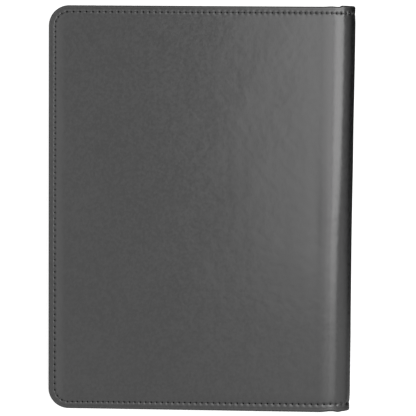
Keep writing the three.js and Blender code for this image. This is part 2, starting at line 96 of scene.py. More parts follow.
# Places and layers of the closed cover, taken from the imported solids, which keep the glue line free.
GLUE_LINE = 0.1 * MM
BACK_LOW, BACK_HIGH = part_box("back_leather")
MIDDLE_Z = (CAD_LOW.z + CAD_HIGH.z) / 2
FORE_X = BACK_LOW.x
HEAD_Y = BACK_HIGH.y
SPINE_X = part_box("spine_leather")[1].x
HALF_HEIGHT = BACK_HIGH.z - MIDDLE_Z
HINGE = joint_place("back_fold")
HINGE_ANGLE = math.acos((HINGE.z - MIDDLE_Z) / HALF_HEIGHT)
ROLL_DEPTH = (SPINE_X - HINGE.x) / (1 - math.sin(HINGE_ANGLE))
CREASE_X = SPINE_X - ROLL_DEPTH
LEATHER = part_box("front_foam")[0].z - GLUE_LINE
COVER_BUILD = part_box("document_pocket_gusset")[0].z - GLUE_LINE
LINING = COVER_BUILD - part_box("front_lining")[0].z
ROLL_BUILD = SPINE_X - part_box("spine_lining")[1].x + LINING
TURN_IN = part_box("front_lining")[0].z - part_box("front_board")[1].z - 2 * GLUE_LINE
FOAM = 1 * MM
FOAM_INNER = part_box("front_foam")[0].z + FOAM  # depth of the foam's inner face

# The outer face is unrolled: across is the distance along it from the middle of the spine to the fore-edge.
ROLL_SAMPLES = 721
ROLL_ANGLES = np.linspace(math.pi / 2, 0, ROLL_SAMPLES)
ROLL_LENGTHS = np.concatenate([[0], np.cumsum(np.hypot(
    np.diff(ROLL_DEPTH * np.sin(ROLL_ANGLES)), np.diff(HALF_HEIGHT * np.cos(ROLL_ANGLES))))])
ROLL_LENGTH = ROLL_LENGTHS[-1]
ACROSS_END = ROLL_LENGTH + CREASE_X - FORE_X

# Meshes and soft forms.
WELD = 0.002 * MM  # points this near to one another are merged
SHARP_ANGLE = math.radians(50)
FAR_FROM_EDGE = 1.0  # the seam coordinate of points that no seam reaches
BAND = 13 * MM  # width of the finely meshed border of a cover
PATH_STEP = 0.25 * MM  # from point to point along an outline
GRID_STEP = 5 * MM  # mesh inside the border of a cover or a pocket
TURN_IN_WIDTH = 10 * MM
WAVE_LENGTHS = np.linspace(35 * MM, 110 * MM, 9)
WAVE_SEED = 3

# Relief of the cover's leather: the depth of each form, where it lies across the cover, and its reach.
CHANNEL_REACH = 0.7 * MM
HOLE_PULL = 1.2 * MM  # how far along the seam a needle hole draws the leather in
CREASE_DEPTH, CREASE_REACH = 0.04 * MM, 0.35 * MM
VALLEY_DEPTH, VALLEY_AT, VALLEY_REACH = 0.27 * MM, ROLL_LENGTH + 2.5 * MM, 6.5 * MM
SPINE_HOLLOW, SPINE_HOLLOW_REACH = 0.7, 9 * MM  # its depth as a share of the slack
FOOT_HOLLOW, FOOT_HOLLOW_AT, FOOT_HOLLOW_REACH = 1.25, 11 * MM, 8 * MM  # the same at the foot

# Relief of the lining along its seam.
LINING_CHANNEL, LINING_CHANNEL_REACH = 0.18 * MM, 0.6 * MM
LINING_DIMPLE, LINING_DIMPLE_REACH, LINING_PULL = 0.12 * MM, 0.4 * MM, 0.45 * MM

# Pockets.
NOTCH_HALF_WIDTH = 17 * MM
NOTCH_DEPTH = 9 * MM
PANEL_SEAM = 2.4 * MM
PANEL_BAND = 5 * MM
PANEL_ROUND = 0.3 * MM
PANEL_CHANNEL_REACH = 0.45 * MM
POCKET_SPINE_RADIUS = 6 * MM
CARD_RADIUS = 3 * MM
CARD_SEAM, CARD_BAND = 2 * MM, 2.7 * MM
CARD_CREASE, CARD_CREASE_REACH = 0.12 * MM, 0.3 * MM  # the line pressed in along a card pocket's mouth
GUSSET_SKIN, GUSSET_FOLD = 0.6 * MM, 2.5 * MM
WELT_WIDTH = 4 * MM

# Pen loop, paper and tape.
ELASTIC = 1.2 * MM
ELASTIC_SLACK = 0.04 * MM
ELASTIC_RIBS, RIB_DEPTH = 22, 0.07 * MM
LOOP_SEAM_MARGIN = 2 * MM
LOOP_STITCHES = 10
SHEET_SHIFT, SHEET_SEED = 0.12 * MM, 11
SHEET_SHARE = 0.94  # of the height from one sheet to the next
TAPE, TAPE_RADIUS = 0.2 * MM, 0.6 * MM
TAPE_SHARE = 0.96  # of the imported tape's thickness, which keeps it clear of the paper
RULED_FROM = 32 * MM  # the head's margin, and the margin line's distance from the side

# Stitches, as shares of the thread's thickness or in degrees.
STITCH_COVERAGE, STITCH_RISE, STITCH_DIP = 0.7, 0.75, 0.55
STITCH_SLANT, STITCH_UNEVENNESS, STITCH_SEED = 7, 2.5, 5

# Colours that no setting holds.
GREY_BOARD = (0.22, 0.21, 0.19)
FOAM_GREY = (0.03, 0.03, 0.03)
# Painted shade: the black of the needle holes, which stands in for the shade inside them.
PAINTED_HOLE_SHADE = (0.001, 0.001, 0.001)
RULE_BLUE = (0.30, 0.38, 0.50)
MARGIN_RED = (0.55, 0.22, 0.22)


def length_prop(name, description, millimetres):
    return FloatProperty(name=name, description=description, default=millimetres * MM, unit="LENGTH")


def share_prop(name, description, default):
    return FloatProperty(name=name, description=description, default=default, subtype="FACTOR", min=0, max=1)


def colour_prop(name, description, default):
    return FloatVectorProperty(
        name=name, description=description, default=default, subtype="COLOR", min=0, max=1)


def light_prop(name, description, default):
    """Brightness of one light, or of a row of lights from head to foot."""
    kind = FloatVectorProperty if isinstance(default, tuple) else FloatProperty
    return kind(name=name, description=description, default=default, min=0)


class PortfolioSizes(PropertyGroup):
    """Sizes of the parts that only the render model shows."""

    corner_radius: length_prop("Corner radius", "Round corners at the fore-edge", 16)
    edge_round: length_prop("Edge round", "Radius of the folded leather edge", 1.2)
    seam_inset: length_prop("Seam inset", "Edge of the cover to the stitching", 5)
    foot_seam: length_prop(
        "Foot seam", "How much farther in the stitching runs at the foot of the spine", 1.6)
    stitch_pitch: length_prop("Stitch pitch", "From one needle hole to the next", 4.6)
    pitch_drift: share_prop(
        "Pitch drift", "How much longer the last stitch of a cover's side is than its first", 0.28)
    thread: length_prop("Thread", "Thickness of the sewing thread", 0.7)
    channel: length_prop("Channel", "How deep the seam draws the leather in", 0.06)
    dimple: length_prop("Dimple", "How much deeper each needle hole draws it in", 0.4)
    hole: length_prop("Needle hole", "Radius of a needle hole", 0.8)
    edge_crease: length_prop("Edge crease", "Edge of the cover to the pressed line beside it", 2.3)
    crown: length_prop("Crown", "How far the padding stands above the stitched edge", 0.25)
    undulation: length_prop("Undulation", "Height of the soft waves in the padded leather", 0.04)
    slack: length_prop("Slack", "How far the loose leather of the spine stands out or in", 0.6)
    gather: length_prop("Gather", "How far the leather bulges at each end of the spine", 1.1)
    sheets: IntProperty(name="Sheets", description="Sheets on the writing pad", default=45, min=1)
    ruling: length_prop("Ruling", "Distance between the ruled lines", 8)


class PortfolioFinishes(PropertyGroup):
    """Colours and grain of the finishes."""

    leather: colour_prop("Cover leather", "Colour of the outer leather", (0.0115, 0.0115, 0.0117))
    pocket: colour_prop("Pocket leather", "Colour of the pockets", (0.013, 0.013, 0.0135))
    thread: colour_prop("Thread", "Colour of the thread", (0.055, 0.055, 0.056))
    lining: colour_prop("Lining", "Colour of the lining cloth", (0.016, 0.016, 0.018))
    elastic: colour_prop("Elastic", "Colour of the pen loop", (0.012, 0.012, 0.013))
    paper: colour_prop("Paper", "Colour of the writing paper", (0.66, 0.645, 0.60))
    board: colour_prop("Board", "Colour of the pad's backing board", (0.27, 0.21, 0.14))
    roughness: share_prop("Leather roughness", "How dull the leather's finish is", 0.19)
    coating: FloatProperty(
        name="Coating", description="Refractive index of the leather's coating", default=1.65, min=1)
    pebble: length_prop("Pebble", "Size of the leather's grain", 0.55)
    weave: length_prop("Weave", "Distance between the threads of the lining", 0.45)


class PortfolioStage(PropertyGroup):
    """Camera and lights."""

    lens: FloatProperty(name="Lens", description="Focal length in millimetres", default=131.69)
    camera: FloatVectorProperty(
        name="Camera", description="Where the camera stands", default=(0.0531, 0.0848, 1.2202),
        subtype="TRANSLATION", unit="LENGTH")
    aim: FloatVectorProperty(
        name="Aim", description="Tilt, pan and roll of the camera",
        default=(math.radians(-3.952), math.radians(2.29), math.radians(0.48)), subtype="EULER")
    overhead: light_prop("Overhead lights", "Brightness of the lights overhead", (1.711, 1.358, 0.309))
    between: light_prop("Lights between", "Brightness of the lights between those two", (0.275, 0.923, 0.383))
    key: light_prop("Key lights", "Brightness of the lights beyond the spine", (3.619, 3.642, 0.970))
    fore: light_prop("Fore light", "Brightness of the light beyond the fore-edge", 0.492)
    foot: light_prop("Foot light", "Brightness of the low light beyond the foot of the spine", 0.439)
    room: light_prop("Room", "Brightness of the room as the object's colour sees it", 0.3)
    zenith: light_prop("Zenith", "Brightness of the room's ceiling in the object's gloss", 1.158)
    card: light_prop(
        "Foot card", "Brightness, in the object's gloss, of a low card at the foot of the spine", 0.75)
    glow: light_prop("Table glow", "Light of the table itself, which hides shadows", 0.75)


def smooth(part):
    part = np.clip(part, 0, 1)
    return part * part * (3 - 2 * part)


def ridge(value, centre, width):
    return np.exp(-(((value - centre) / width) ** 2))


def roll_angle(across):
    return np.interp(across, ROLL_LENGTHS, ROLL_ANGLES)


def build(across):
    """Thickness of all layers of a cover, which thins to the roll's at the hinge line."""
    return COVER_BUILD + (ROLL_BUILD - COVER_BUILD) * smooth(roll_angle(across) / HINGE_ANGLE)


def out_of_skin(across):
    """Outward direction of the back cover's outer face in X and Z."""
    angle = roll_angle(across)
    out = np.stack([HALF_HEIGHT * np.sin(angle), ROLL_DEPTH * np.cos(angle)], 1)
    return out / np.linalg.norm(out, axis=1)[:, None]


def wrap(side):
    """A placer that takes points of the unrolled cover, and their depth below its outer face, into space."""
    def place(flat, depth):
        across = flat[:, 0]
        angle = roll_angle(across)
        out = out_of_skin(across)
        x = CREASE_X + ROLL_DEPTH * np.sin(angle) - np.maximum(across - ROLL_LENGTH, 0)
        z = MIDDLE_Z + side * (HALF_HEIGHT * np.cos(angle) - out[:, 1] * depth)
        return np.stack([x - out[:, 0] * depth, flat[:, 1], z], 1)
    return place


def wrap_normal(side, flat, facing):
    out = out_of_skin(flat[:, 0]) * facing
    return np.stack([out[:, 0], np.zeros(len(out)), side * out[:, 1]], 1)


def level(height, up):
    """A placer for a flat sheet whose visible face lies at a height and faces up (1) or down (-1)."""
    return lambda flat, depth: np.column_stack([flat, height - up * np.broadcast_to(depth, len(flat))])


def rounded_path(corners, closed):
    """Points a small step apart along straight runs between corners (x, y, radius)."""
    count = len(corners)
    knots = []
    for i, (x, y, radius) in enumerate(corners):
        here = np.array([x, y])
        if radius == 0 or (not closed and i in (0, count - 1)):
            knots.append(here[None])
            continue
        into = here - np.array(corners[i - 1][:2])
        into = into / np.linalg.norm(into)
        away = np.array(corners[(i + 1) % count][:2]) - here
        away = away / np.linalg.norm(away)
        side = math.copysign(1, into[0] * away[1] - into[1] * away[0])
        turn = math.acos(np.clip(into @ away, -1, 1))
        start = here - into * radius * math.tan(turn / 2)
        centre = start + side * radius * np.array([-into[1], into[0]])
        steps = max(2, round(turn * radius / PATH_STEP))
        angles = math.atan2(*(start - centre)[::-1]) + side * np.linspace(0, turn, steps + 1)
        knots.append(centre + radius * np.stack([np.cos(angles), np.sin(angles)], 1))
    knots = np.concatenate(knots + ([knots[0][:1]] if closed else []))
    runs = []
    for a, b in zip(knots[:-1], knots[1:]):
        steps = max(1, round(np.linalg.norm(b - a) / PATH_STEP))
        runs.append(a + (b - a) * (np.arange(steps) / steps)[:, None])
    return np.concatenate(runs + ([] if closed else [knots[-1:]]))


class Edge:
    """The rim of a sheet in its own plane, with stations a share of a stitch apart.

    points are the stations, inwards the direction into the sheet at each, and along how many stitches lie
    before each on the seam that runs at seam_inset. gathers says how far the rim outside the seam bulges,
    drift how long the stitches are at each place, as a share of the pitch, and drawn how much farther in the
    seam and all inside it lie.
    """

    def __init__(
            self, path, closed, left, seam_inset, pitch, per_stitch, gathers=None, drift=None, drawn=None):
        before, after = np.roll(path, 1, 0), np.roll(path, -1, 0)
        if not closed:
            before[0], after[-1] = 2 * path[0] - path[1], 2 * path[-1] - path[-2]
        normals = []
        for a, b in ((before, path), (path, after)):
            run = (b - a) / np.linalg.norm(b - a, axis=1)[:, None]
            normals.append(left * np.stack([-run[:, 1], run[:, 0]], 1))
        dot = (normals[0] * normals[1]).sum(1)
        inwards = (normals[0] + normals[1]) / (1 + dot)[:, None]
        seam = path + seam_inset * inwards
        if closed:
            seam, path, inwards = (np.vstack([a, a[:1]]) for a in (seam, path, inwards))
        steps = np.linalg.norm(np.diff(seam, axis=0), axis=1)
        if drift:
            steps = steps / drift(path[1:])
        length = np.concatenate([[0], np.cumsum(steps)])
        self.stitches = round(length[-1] / pitch)
        length *= self.stitches / length[-1]
        stations = np.linspace(0, self.stitches, self.stitches * per_stitch + 1)
        if closed:
            stations = stations[:-1]

        def spread(values):
            return np.stack([np.interp(stations, length, values[:, k]) for k in (0, 1)], 1)

        self.closed, self.along = closed, stations
        self.points, self.inwards = spread(path), spread(inwards)
        self.seam_inset = seam_inset
        self.gathered = gathers(self.points) if gathers else np.zeros(len(stations))
        self.drawn = drawn(self.points) if drawn else np.zeros(len(stations))
        self.fills = {}

    def at(self, inset):
        share = np.clip(inset / self.seam_inset, 0, 1)
        moved = inset + self.drawn * share - self.gathered * (1 - share)
        return self.points + moved[:, None] * self.inwards

    def closing(self, inset, ys):
        """The open side of a cover's sheet, along the middle of the spine, from foot to head."""
        rim = self.at(inset)
        between = ys[(ys > rim[-1, 1] + MM) & (ys < rim[0, 1] - MM)]
        across = np.concatenate([[rim[-1, 1]], between, [rim[0, 1]]])
        return np.column_stack([np.zeros(len(across)), across])

    def fill(self, inset, grid):
        """Points and triangles that fill the sheet inside its border, on a grid of xs and ys."""
        key = (round(inset / WELD), len(grid[0]), len(grid[1]))
        if key not in self.fills:
            rim = self.at(inset)
            if not self.closed:
                rim = np.vstack([rim, self.closing(inset, grid[1])[1:-1]])
            inner = np.stack(np.meshgrid(*grid, indexing="ij"), -1).reshape(-1, 2)
            inner = inner[inside(inner, rim)]
            tree = kdtree.KDTree(len(rim))
            for i, (x, y) in enumerate(rim):
                tree.insert((x, y, 0), i)
            tree.balance()
            clear = [tree.find((x, y, 0))[2] > MM for x, y in inner]
            every = np.vstack([rim, inner[clear]])
            made = geometry.delaunay_2d_cdt([Vector(p) for p in every], [], [list(range(len(rim)))], 1, 1e-8)
            self.fills[key] = (np.array([tuple(p) for p in made[0]]), np.array(made[2]))
        return self.fills[key]

    def holes(self, inset, first=0, last=None):
        """Places of the needle holes of a seam at an inset, as points in the sheet's plane."""
        path = self.at(inset)
        along = self.along
        if self.closed:
            path, along = np.vstack([path, path[:1]]), np.append(along, self.stitches)
        whole = np.arange(first, (self.stitches if last is None else last) + 1)
        return np.stack([np.interp(whole, along, path[:, k]) for k in (0, 1)], 1)


def inside(points, loop):
    """Which points lie inside a closed loop."""
    odd = np.zeros(len(points), bool)
    x, y = points.T
    for (ax, ay), (bx, by) in zip(loop, np.roll(loop, -1, 0)):
        if ay != by:
            odd ^= ((ay > y) != (by > y)) & (x < (bx - ax) * (y - ay) / (by - ay) + ax)
    return odd


def put(name, data):
    """A new object for a mesh, a light or a camera, in the scene."""
    made = bpy.data.objects.new(name, data)
    bpy.context.scene.collection.objects.link(made)
    return made


def mesh_object(name, points, faces, material, seam=None):
    """A smooth mesh object at the origin, with doubles merged and faces outwards."""
    mesh = bpy.data.meshes.new(name)
    mesh.from_pydata(np.asarray(points).tolist(), [], faces)
    if seam is not None:
        attribute = mesh.attributes.new("seam", "FLOAT_VECTOR", "POINT")
        attribute.data.foreach_set("vector", np.column_stack([seam, np.zeros(len(seam))]).ravel())
    work = bmesh.new()
    work.from_mesh(mesh)
    bmesh.ops.remove_doubles(work, verts=work.verts, dist=WELD)
    bmesh.ops.recalc_face_normals(work, faces=work.faces)
    for face in work.faces:
        face.smooth = True
    work.to_mesh(mesh)
    work.free()
    mesh.set_sharp_from_angle(angle=SHARP_ANGLE)
    mesh.materials.append(material)
    return put(name, mesh)


def unsewn(points):
    """Seam coordinates of points that lie far from every seam."""
    return np.tile([0.0, FAR_FROM_EDGE], (len(points), 1))


def shell(name, edge, rings, place, faces_depth, grid, material):
    """A closed sheet: rings of (inset, depth) from its face round its rim to its back, and both fills.

    faces_depth holds the depth of the visible face and of the back as functions of points in the plane.
    """
    count, total = len(edge.points), len(rings)
    points = [place(edge.at(inset), depth) for inset, depth in rings]
    seam = [np.column_stack([edge.along, np.broadcast_to(inset, count)]) for inset, _ in rings]
    start = np.arange(count if edge.closed else count - 1)
    after = (start + 1) % count
    faces = []
    for k in range(total - 1):
        low, high = k * count, (k + 1) * count
        faces += np.column_stack([low + start, high + start, high + after, low + after]).tolist()
    used = total * count
    ends = (float(np.max(rings[0][0])), float(np.max(rings[-1][0])))
    for inset, depth in zip(ends, faces_depth):
        flat, triangles = edge.fill(inset, grid)
        points.append(place(flat, depth(flat)))
        seam.append(unsewn(flat))
        faces += (triangles + used).tolist()
        used += len(flat)
    if not edge.closed:
        rows = []
        for inset, depth in zip(ends, faces_depth):
            line = edge.closing(inset, grid[1])
            points.append(place(line, depth(line)))
            seam.append(unsewn(line))
            rows.append(used + np.arange(len(line)))
            used += len(line)
        faces += np.column_stack([rows[0][:-1], rows[0][1:], rows[1][1:], rows[1][:-1]]).tolist()
        faces.append([k * count for k in range(total)])
        faces.append([k * count + count - 1 for k in reversed(range(total))])
    return mesh_object(name, np.concatenate(points), faces, material, np.concatenate(seam))


def quarter(radius, steps):
    """Insets and drops along a quarter round, from the face of a sheet to its side."""
    turns = np.linspace(0, math.pi / 2, steps)
    return [(radius * (1 - math.sin(turn)), radius * (1 - math.cos(turn))) for turn in turns]


def folded_rim(edge, relief, radius, thickness, back_inset, steps):
    """Rings of a sheet whose visible edge is rounded and whose back lies at a thickness."""
    even = np.full(len(edge.points), thickness)
    rings = [
        (inset, relief(edge.at(inset), edge.along, inset) + drop) for inset, drop in quarter(radius, steps)]
    rings += [(inset, even - drop) for drop, inset in quarter(radius / 2, max(3, steps // 2))]
    return rings + [(back_inset, even)]


def face_rings(edge, relief, insets):
    """Rings of the visible face at insets from its rim, each sunk by the relief."""
    return [(inset, relief(edge.at(inset), edge.along, inset)) for inset in insets]


def waves(flat, height, seed):
    """Soft waves over a sheet, as a sum of a few seeded sines."""
    draw = np.random.default_rng(seed)
    total = np.zeros(len(flat))
    for length in WAVE_LENGTHS:
        heading, phase = draw.uniform(0, 2 * math.pi, 2)
        along = flat @ np.array([math.cos(heading), math.sin(heading)])
        total += np.sin(2 * math.pi * along / length + phase)
    return height * total / 3


def needle(along, spread, pitch):
    """1 at each needle hole of a seam, falling to 0 over a spread."""
    return ridge(np.abs((along + 0.5) % 1 - 0.5) * pitch, 0, spread)


def cover_relief(sizes):
    """Depth of the cover's outer face below its plane, as a function of place, stitch and inset."""
    seam = sizes.seam_inset

    def depth(flat, along, inset):
        across, y = flat.T
        total = sizes.channel * ridge(inset, seam, CHANNEL_REACH)
        # Each hole draws in the leather round it, along the fore-edge only on the padded side.
        fore = smooth((across - ACROSS_END) / sizes.corner_radius + 1)
        reach = (1.3 - 0.8 * fore * (inset < seam)) * MM
        drawn = needle(along, HOLE_PULL, sizes.stitch_pitch)
        total = total + sizes.dimple * ridge(inset, seam, reach) * drawn
        total = total + CREASE_DEPTH * ridge(inset, sizes.edge_crease, CREASE_REACH)
        total = total + sizes.crown * (1 - smooth((inset - seam) / (BAND - seam)))
        total = total + waves(flat, sizes.undulation, WAVE_SEED) * smooth(inset / BAND)
        # The board ends in a shallow valley, and the spine is drawn in at mid-height and slack at its foot.
        valley = (0.25 + 0.75 * ridge(y, -8 * MM, 34 * MM)) * smooth((HEAD_Y - np.abs(y)) / (50 * MM))
        total = total + VALLEY_DEPTH * ridge(across, VALLEY_AT, VALLEY_REACH) * valley
        hollow = SPINE_HOLLOW * sizes.slack * ridge(across, 0, SPINE_HOLLOW_REACH)
        total = total + hollow * np.cos(math.pi / 2 * y / HEAD_Y) ** 2
        hollow = FOOT_HOLLOW * sizes.slack * ridge(across, FOOT_HOLLOW_AT, FOOT_HOLLOW_REACH)
        return total + hollow * smooth((90 * MM - y) / (150 * MM))
    return depth


def spine_gathers(sizes):
    """How far the leather bulges past the seam at the ends of the spine, as a function of place."""
    def bulge(points):
        across, y = points.T
        head = smooth((18 * MM - across) / (3 * MM)) + 0.3 * ridge(across, 24 * MM, 4 * MM)
        foot = 0.35 * ridge(across, 13.7 * MM, 2.5 * MM) - 0.55 * ridge(across, 21 * MM, 4.5 * MM)
        return sizes.gather * np.where(y > 0, head, foot)
    return bulge


def cover_grid():
    roll = np.arange(0, ROLL_LENGTH + 8 * MM, 0.8 * MM)
    plain = np.arange(roll[-1] + 4 * MM, ACROSS_END, GRID_STEP)
    return np.concatenate([roll, plain]), np.arange(-HEAD_Y + GRID_STEP / 2, HEAD_Y, GRID_STEP)


def cover_path(sizes):
    return rounded_path([
        (0, HEAD_Y, 0),
        (ACROSS_END, HEAD_Y, sizes.corner_radius),
        (ACROSS_END, -HEAD_Y, sizes.corner_radius),
        (0, -HEAD_Y, 0),
    ], closed=False)


def cover_edge(sizes, per_stitch, gathers=None):
    def drift(points):
        across, y = points.T
        sewn = np.where(y > 0, across, ACROSS_END - across) / ACROSS_END
        down = (HEAD_Y - y) / (2 * HEAD_Y)
        sewn = np.where(across > ACROSS_END - 0.7 * sizes.corner_radius, down, sewn)
        return 1 + sizes.pitch_drift * (sewn - 0.5)

    def drawn(points):
        across, y = points.T
        return sizes.foot_seam * np.sqrt(np.clip(1 - across / ACROSS_END, 0, 1)) * (y < 0)

    return Edge(
        cover_path(sizes), False, -1, sizes.seam_inset, sizes.stitch_pitch, per_stitch, gathers, drift, drawn)


def bend(piece, side):
    """Bakes a soft piece's transform into its mesh; the piece is not bent across the hinge line."""
    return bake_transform(piece)


def cover_skin(side, edge, sizes, grid, material):
    """One cover's outer leather and half the spine's: the face, the folded edge and the turn-in behind it."""
    relief = cover_relief(sizes)
    inner = build(edge.points[:, 0]) - LINING - GLUE_LINE
    outer_round = np.minimum(sizes.edge_round, 0.5 * inner)
    rings = face_rings(edge, relief, [*np.linspace(BAND, 7 * MM, 7), *(np.arange(6.6, 1.8, -0.25) * MM)])
    sunk = relief(edge.at(outer_round), edge.along, outer_round)
    rings += [(inset, sunk + drop) for inset, drop in quarter(outer_round, 8)]
    rings += [(inset, inner - drop) for drop, inset in quarter(0.25 * inner, 5)]
    rings += [(TURN_IN_WIDTH, inner), (TURN_IN_WIDTH, inner - TURN_IN), (LEATHER, inner - TURN_IN)]
    rings.append((LEATHER + 0.4 * MM, np.full(len(inner), LEATHER + 0.4 * MM)))
    rings.append((BAND, np.full(len(inner), LEATHER)))
    depths = (
        lambda flat: relief(flat, np.zeros(len(flat)), BAND),
        lambda flat: np.full(len(flat), LEATHER),
    )
    piece = shell(f"{SIDE_NAME[side]}_cover_skin", edge, rings, wrap(side), depths, grid, material)
    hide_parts(f"{SIDE_NAME[side]}_leather", "spine_leather")
    return bend(piece, side)


def lining_depth(sizes):
    """Depth of the lining's visible face below the cover's outer plane."""
    def depth(flat, along, inset):
        drawn = LINING_CHANNEL * ridge(inset, sizes.seam_inset, LINING_CHANNEL_REACH)
        drawn = drawn + LINING_DIMPLE * ridge(inset, sizes.seam_inset, LINING_DIMPLE_REACH) * needle(
            along, LINING_PULL, sizes.stitch_pitch)
        return build(flat[:, 0]) - drawn
    return depth


def cover_lining(side, edge, sizes, grid, material):
    """One cover's lining and half the spine's, cut a little smaller than the cover and folded at its rim."""
    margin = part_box(f"{SIDE_NAME[side]}_lining")[0].x - FORE_X
    relief = lining_depth(sizes)
    whole = build(edge.points[:, 0])
    rings = face_rings(edge, relief, [*np.linspace(BAND, 6.6 * MM, 5), *(np.arange(6.2, 2.2, -0.3) * MM)])
    fold = LINING / 2
    for turn in np.linspace(0, math.pi, 7):
        rings.append((margin + fold * (1 - math.sin(turn)), whole - fold * (1 - math.cos(turn))))
    rings.append((BAND, whole - LINING))
    depths = (
        lambda flat: relief(flat, np.zeros(len(flat)), BAND),
        lambda flat: build(flat[:, 0]) - LINING,
    )
    piece = shell(f"{SIDE_NAME[side]}_lining_cloth", edge, rings, wrap(side), depths, grid, material)
    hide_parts(f"{SIDE_NAME[side]}_lining", "spine_lining")
    return bend(piece, side)


def cover_padding(side, edge, grid, material):
    """The foam between the leather and the board, and half the spine's reinforcement."""
    outer = LEATHER + GLUE_LINE  # depth of its outer face, and its distance from the cover's edge

    def inner(across):
        past_board = build(across) - LINING - TURN_IN - 2 * GLUE_LINE
        return np.where(across > ROLL_LENGTH + MM, FOAM_INNER, past_board)

    back = inner(edge.points[:, 0])
    face = np.full(len(back), outer)
    rings = [(BAND, face), (outer, face), (outer, back), (BAND, back)]
    depths = (lambda flat: np.full(len(flat), outer), lambda flat: inner(flat[:, 0]))
    piece = shell(f"{SIDE_NAME[side]}_padding", edge, rings, wrap(side), depths, grid, material)
    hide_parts(f"{SIDE_NAME[side]}_foam", "spine_reinforcement")
    return bend(piece, side)


def sewn_panel(name, node, path, up, seam, band, sizes, material, crease=0.0):
    """A leather pocket panel with folded edges and a channel for its seam, in the place of a CAD panel.

    A panel with a crease has a line pressed in along its mouth in place of the channel. The panel is returned
    with its seam: the places of the needle holes and the direction out of the leather at each.
    """
    low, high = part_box(node)
    thickness = high.z - low.z
    edge = Edge(path, True, 1, seam, sizes.stitch_pitch, 4)

    def relief(flat, along, inset):
        if crease:
            return crease * ridge(high.y - flat[:, 1], seam, CARD_CREASE_REACH)
        return 0.25 * thickness * ridge(np.broadcast_to(inset, len(flat)), seam, PANEL_CHANNEL_REACH)

    rings = face_rings(edge, relief, np.arange(band, PANEL_ROUND + 0.1 * MM, -0.25 * MM))
    rings += folded_rim(edge, relief, PANEL_ROUND, thickness, band, 5)
    place = level(high.z if up > 0 else low.z, up)
    depths = (
        lambda flat: relief(flat, np.zeros(len(flat)), band),
        lambda flat: np.full(len(flat), thickness),
    )
    grid = (np.arange(low.x, high.x, GRID_STEP), np.arange(low.y, high.y, GRID_STEP))
    piece = shell(name, edge, rings, place, depths, grid, material)
    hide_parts(node)
    spots = edge.holes(seam)
    holes = place(spots, relief(spots, None, seam))
    return piece, (holes, np.tile([0, 0, float(up)], (len(holes), 1)))


def corner_of(sizes, low):
    """Fore-edge corner radius of a sheet that is set in from the cover's edge."""
    return sizes.corner_radius - (low.x - FORE_X)


def panel_path(low, high, fore_radius, spine_radius, notch=False):
    """A pocket panel's outline, counter-clockwise from the foot of its fore-edge."""
    corners = [(low.x, low.y, fore_radius), (high.x, low.y, spine_radius), (high.x, high.y, 0)]
    if notch:
        middle = (low.x + high.x) / 2
        for part in np.linspace(1, -1, 41):
            dip = NOTCH_DEPTH * math.cos(math.pi / 2 * part) ** 2
            corners.append((middle + part * NOTCH_HALF_WIDTH, high.y - dip, 0))
    corners.append((low.x, high.y, 0))
    return rounded_path(corners, closed=True)


def three_sides(low, high, sizes):
    """The sewn edge of a pocket: down the fore-edge, along the foot and up beside the spine."""
    path = rounded_path([
        (low.x, high.y, 0),
        (low.x, low.y, corner_of(sizes, low)),
        (high.x, low.y, POCKET_SPINE_RADIUS),
        (high.x, high.y, 0),
    ], closed=False)
    return Edge(path, False, 1, PANEL_SEAM, sizes.stitch_pitch, 2)


def strip_faces(count, size):
    """Faces between the following sections of a strip, and one at each of its ends."""
    i, j = np.meshgrid(np.arange(count - 1), np.arange(size), indexing="ij")
    following = (j + 1) % size
    sides = [i * size + j, i * size + following, (i + 1) * size + following, (i + 1) * size + j]
    ends = [list(range(size)), list(range((count - 1) * size, count * size))]
    return np.stack(sides, -1).reshape(-1, 4).tolist() + ends


def swept_strip(name, edge, section, material):
    """A closed section of (inward distance, height) run along an edge."""
    points = np.concatenate([
        np.column_stack([point + section[:, :1] * inwards, section[:, 1]])
        for point, inwards in zip(edge.points, edge.inwards)])
    faces = strip_faces(len(edge.points), len(section))
    return mesh_object(name, points, faces, material, unsewn(points))


def run_and_normal(line):
    """The direction of a line and the direction to its left, at each of its points."""
    run = np.gradient(line, axis=0)
    run /= np.linalg.norm(run, axis=1)[:, None]
    return run, np.stack([-run[:, 1], run[:, 0]], 1)


def thick_line(line, thickness):
    """A closed section round an open line of points, with round ends."""
    run, normal = run_and_normal(line)
    normal = normal * thickness / 2
    ends = []
    for k, sign in ((-1, 1), (0, -1)):
        for turn in np.linspace(0, math.pi, 7)[1:-1]:
            out = normal[k] * math.cos(turn) + run[k] * thickness / 2 * math.sin(turn)
            ends.append(line[k] + sign * out)
    half = len(ends) // 2
    return np.vstack([line + normal, ends[:half], (line - normal)[::-1], ends[half:]])


def pocket_bellows(sizes, material):
    """The document pocket's gusset: thin leather in one soft fold inwards."""
    low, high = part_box("document_pocket_gusset")
    part = np.linspace(0, 1, 33)
    inwards = GUSSET_SKIN / 2 + GLUE_LINE + GUSSET_FOLD * np.sin(math.pi * part) ** 0.8
    heights = low.z + GUSSET_SKIN / 2 + (high.z - low.z - GUSSET_SKIN) * part
    edge = three_sides(*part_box("document_pocket_panel"), sizes)
    section = thick_line(np.column_stack([inwards, heights]), GUSSET_SKIN)
    piece = swept_strip("pocket_bellows", edge, section, material)
    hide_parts("document_pocket_gusset")
    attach(piece, "front_cover")


def pad_welt(sizes, material):
    """The folded leather strip that carries the pad's pocket clear of the lining."""
    low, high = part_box("pad_pocket_welt")
    radius = (high.z - low.z) / 2
    middle = (low.z + high.z) / 2
    line = np.array([[radius, middle], [WELT_WIDTH / 2, middle], [WELT_WIDTH - radius, middle]])
    section = thick_line(line, 2 * radius)
    piece = swept_strip("pad_pocket_folded_welt", three_sides(low, high, sizes), section, material)
    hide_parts("pad_pocket_welt")
    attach(piece, "back_cover")


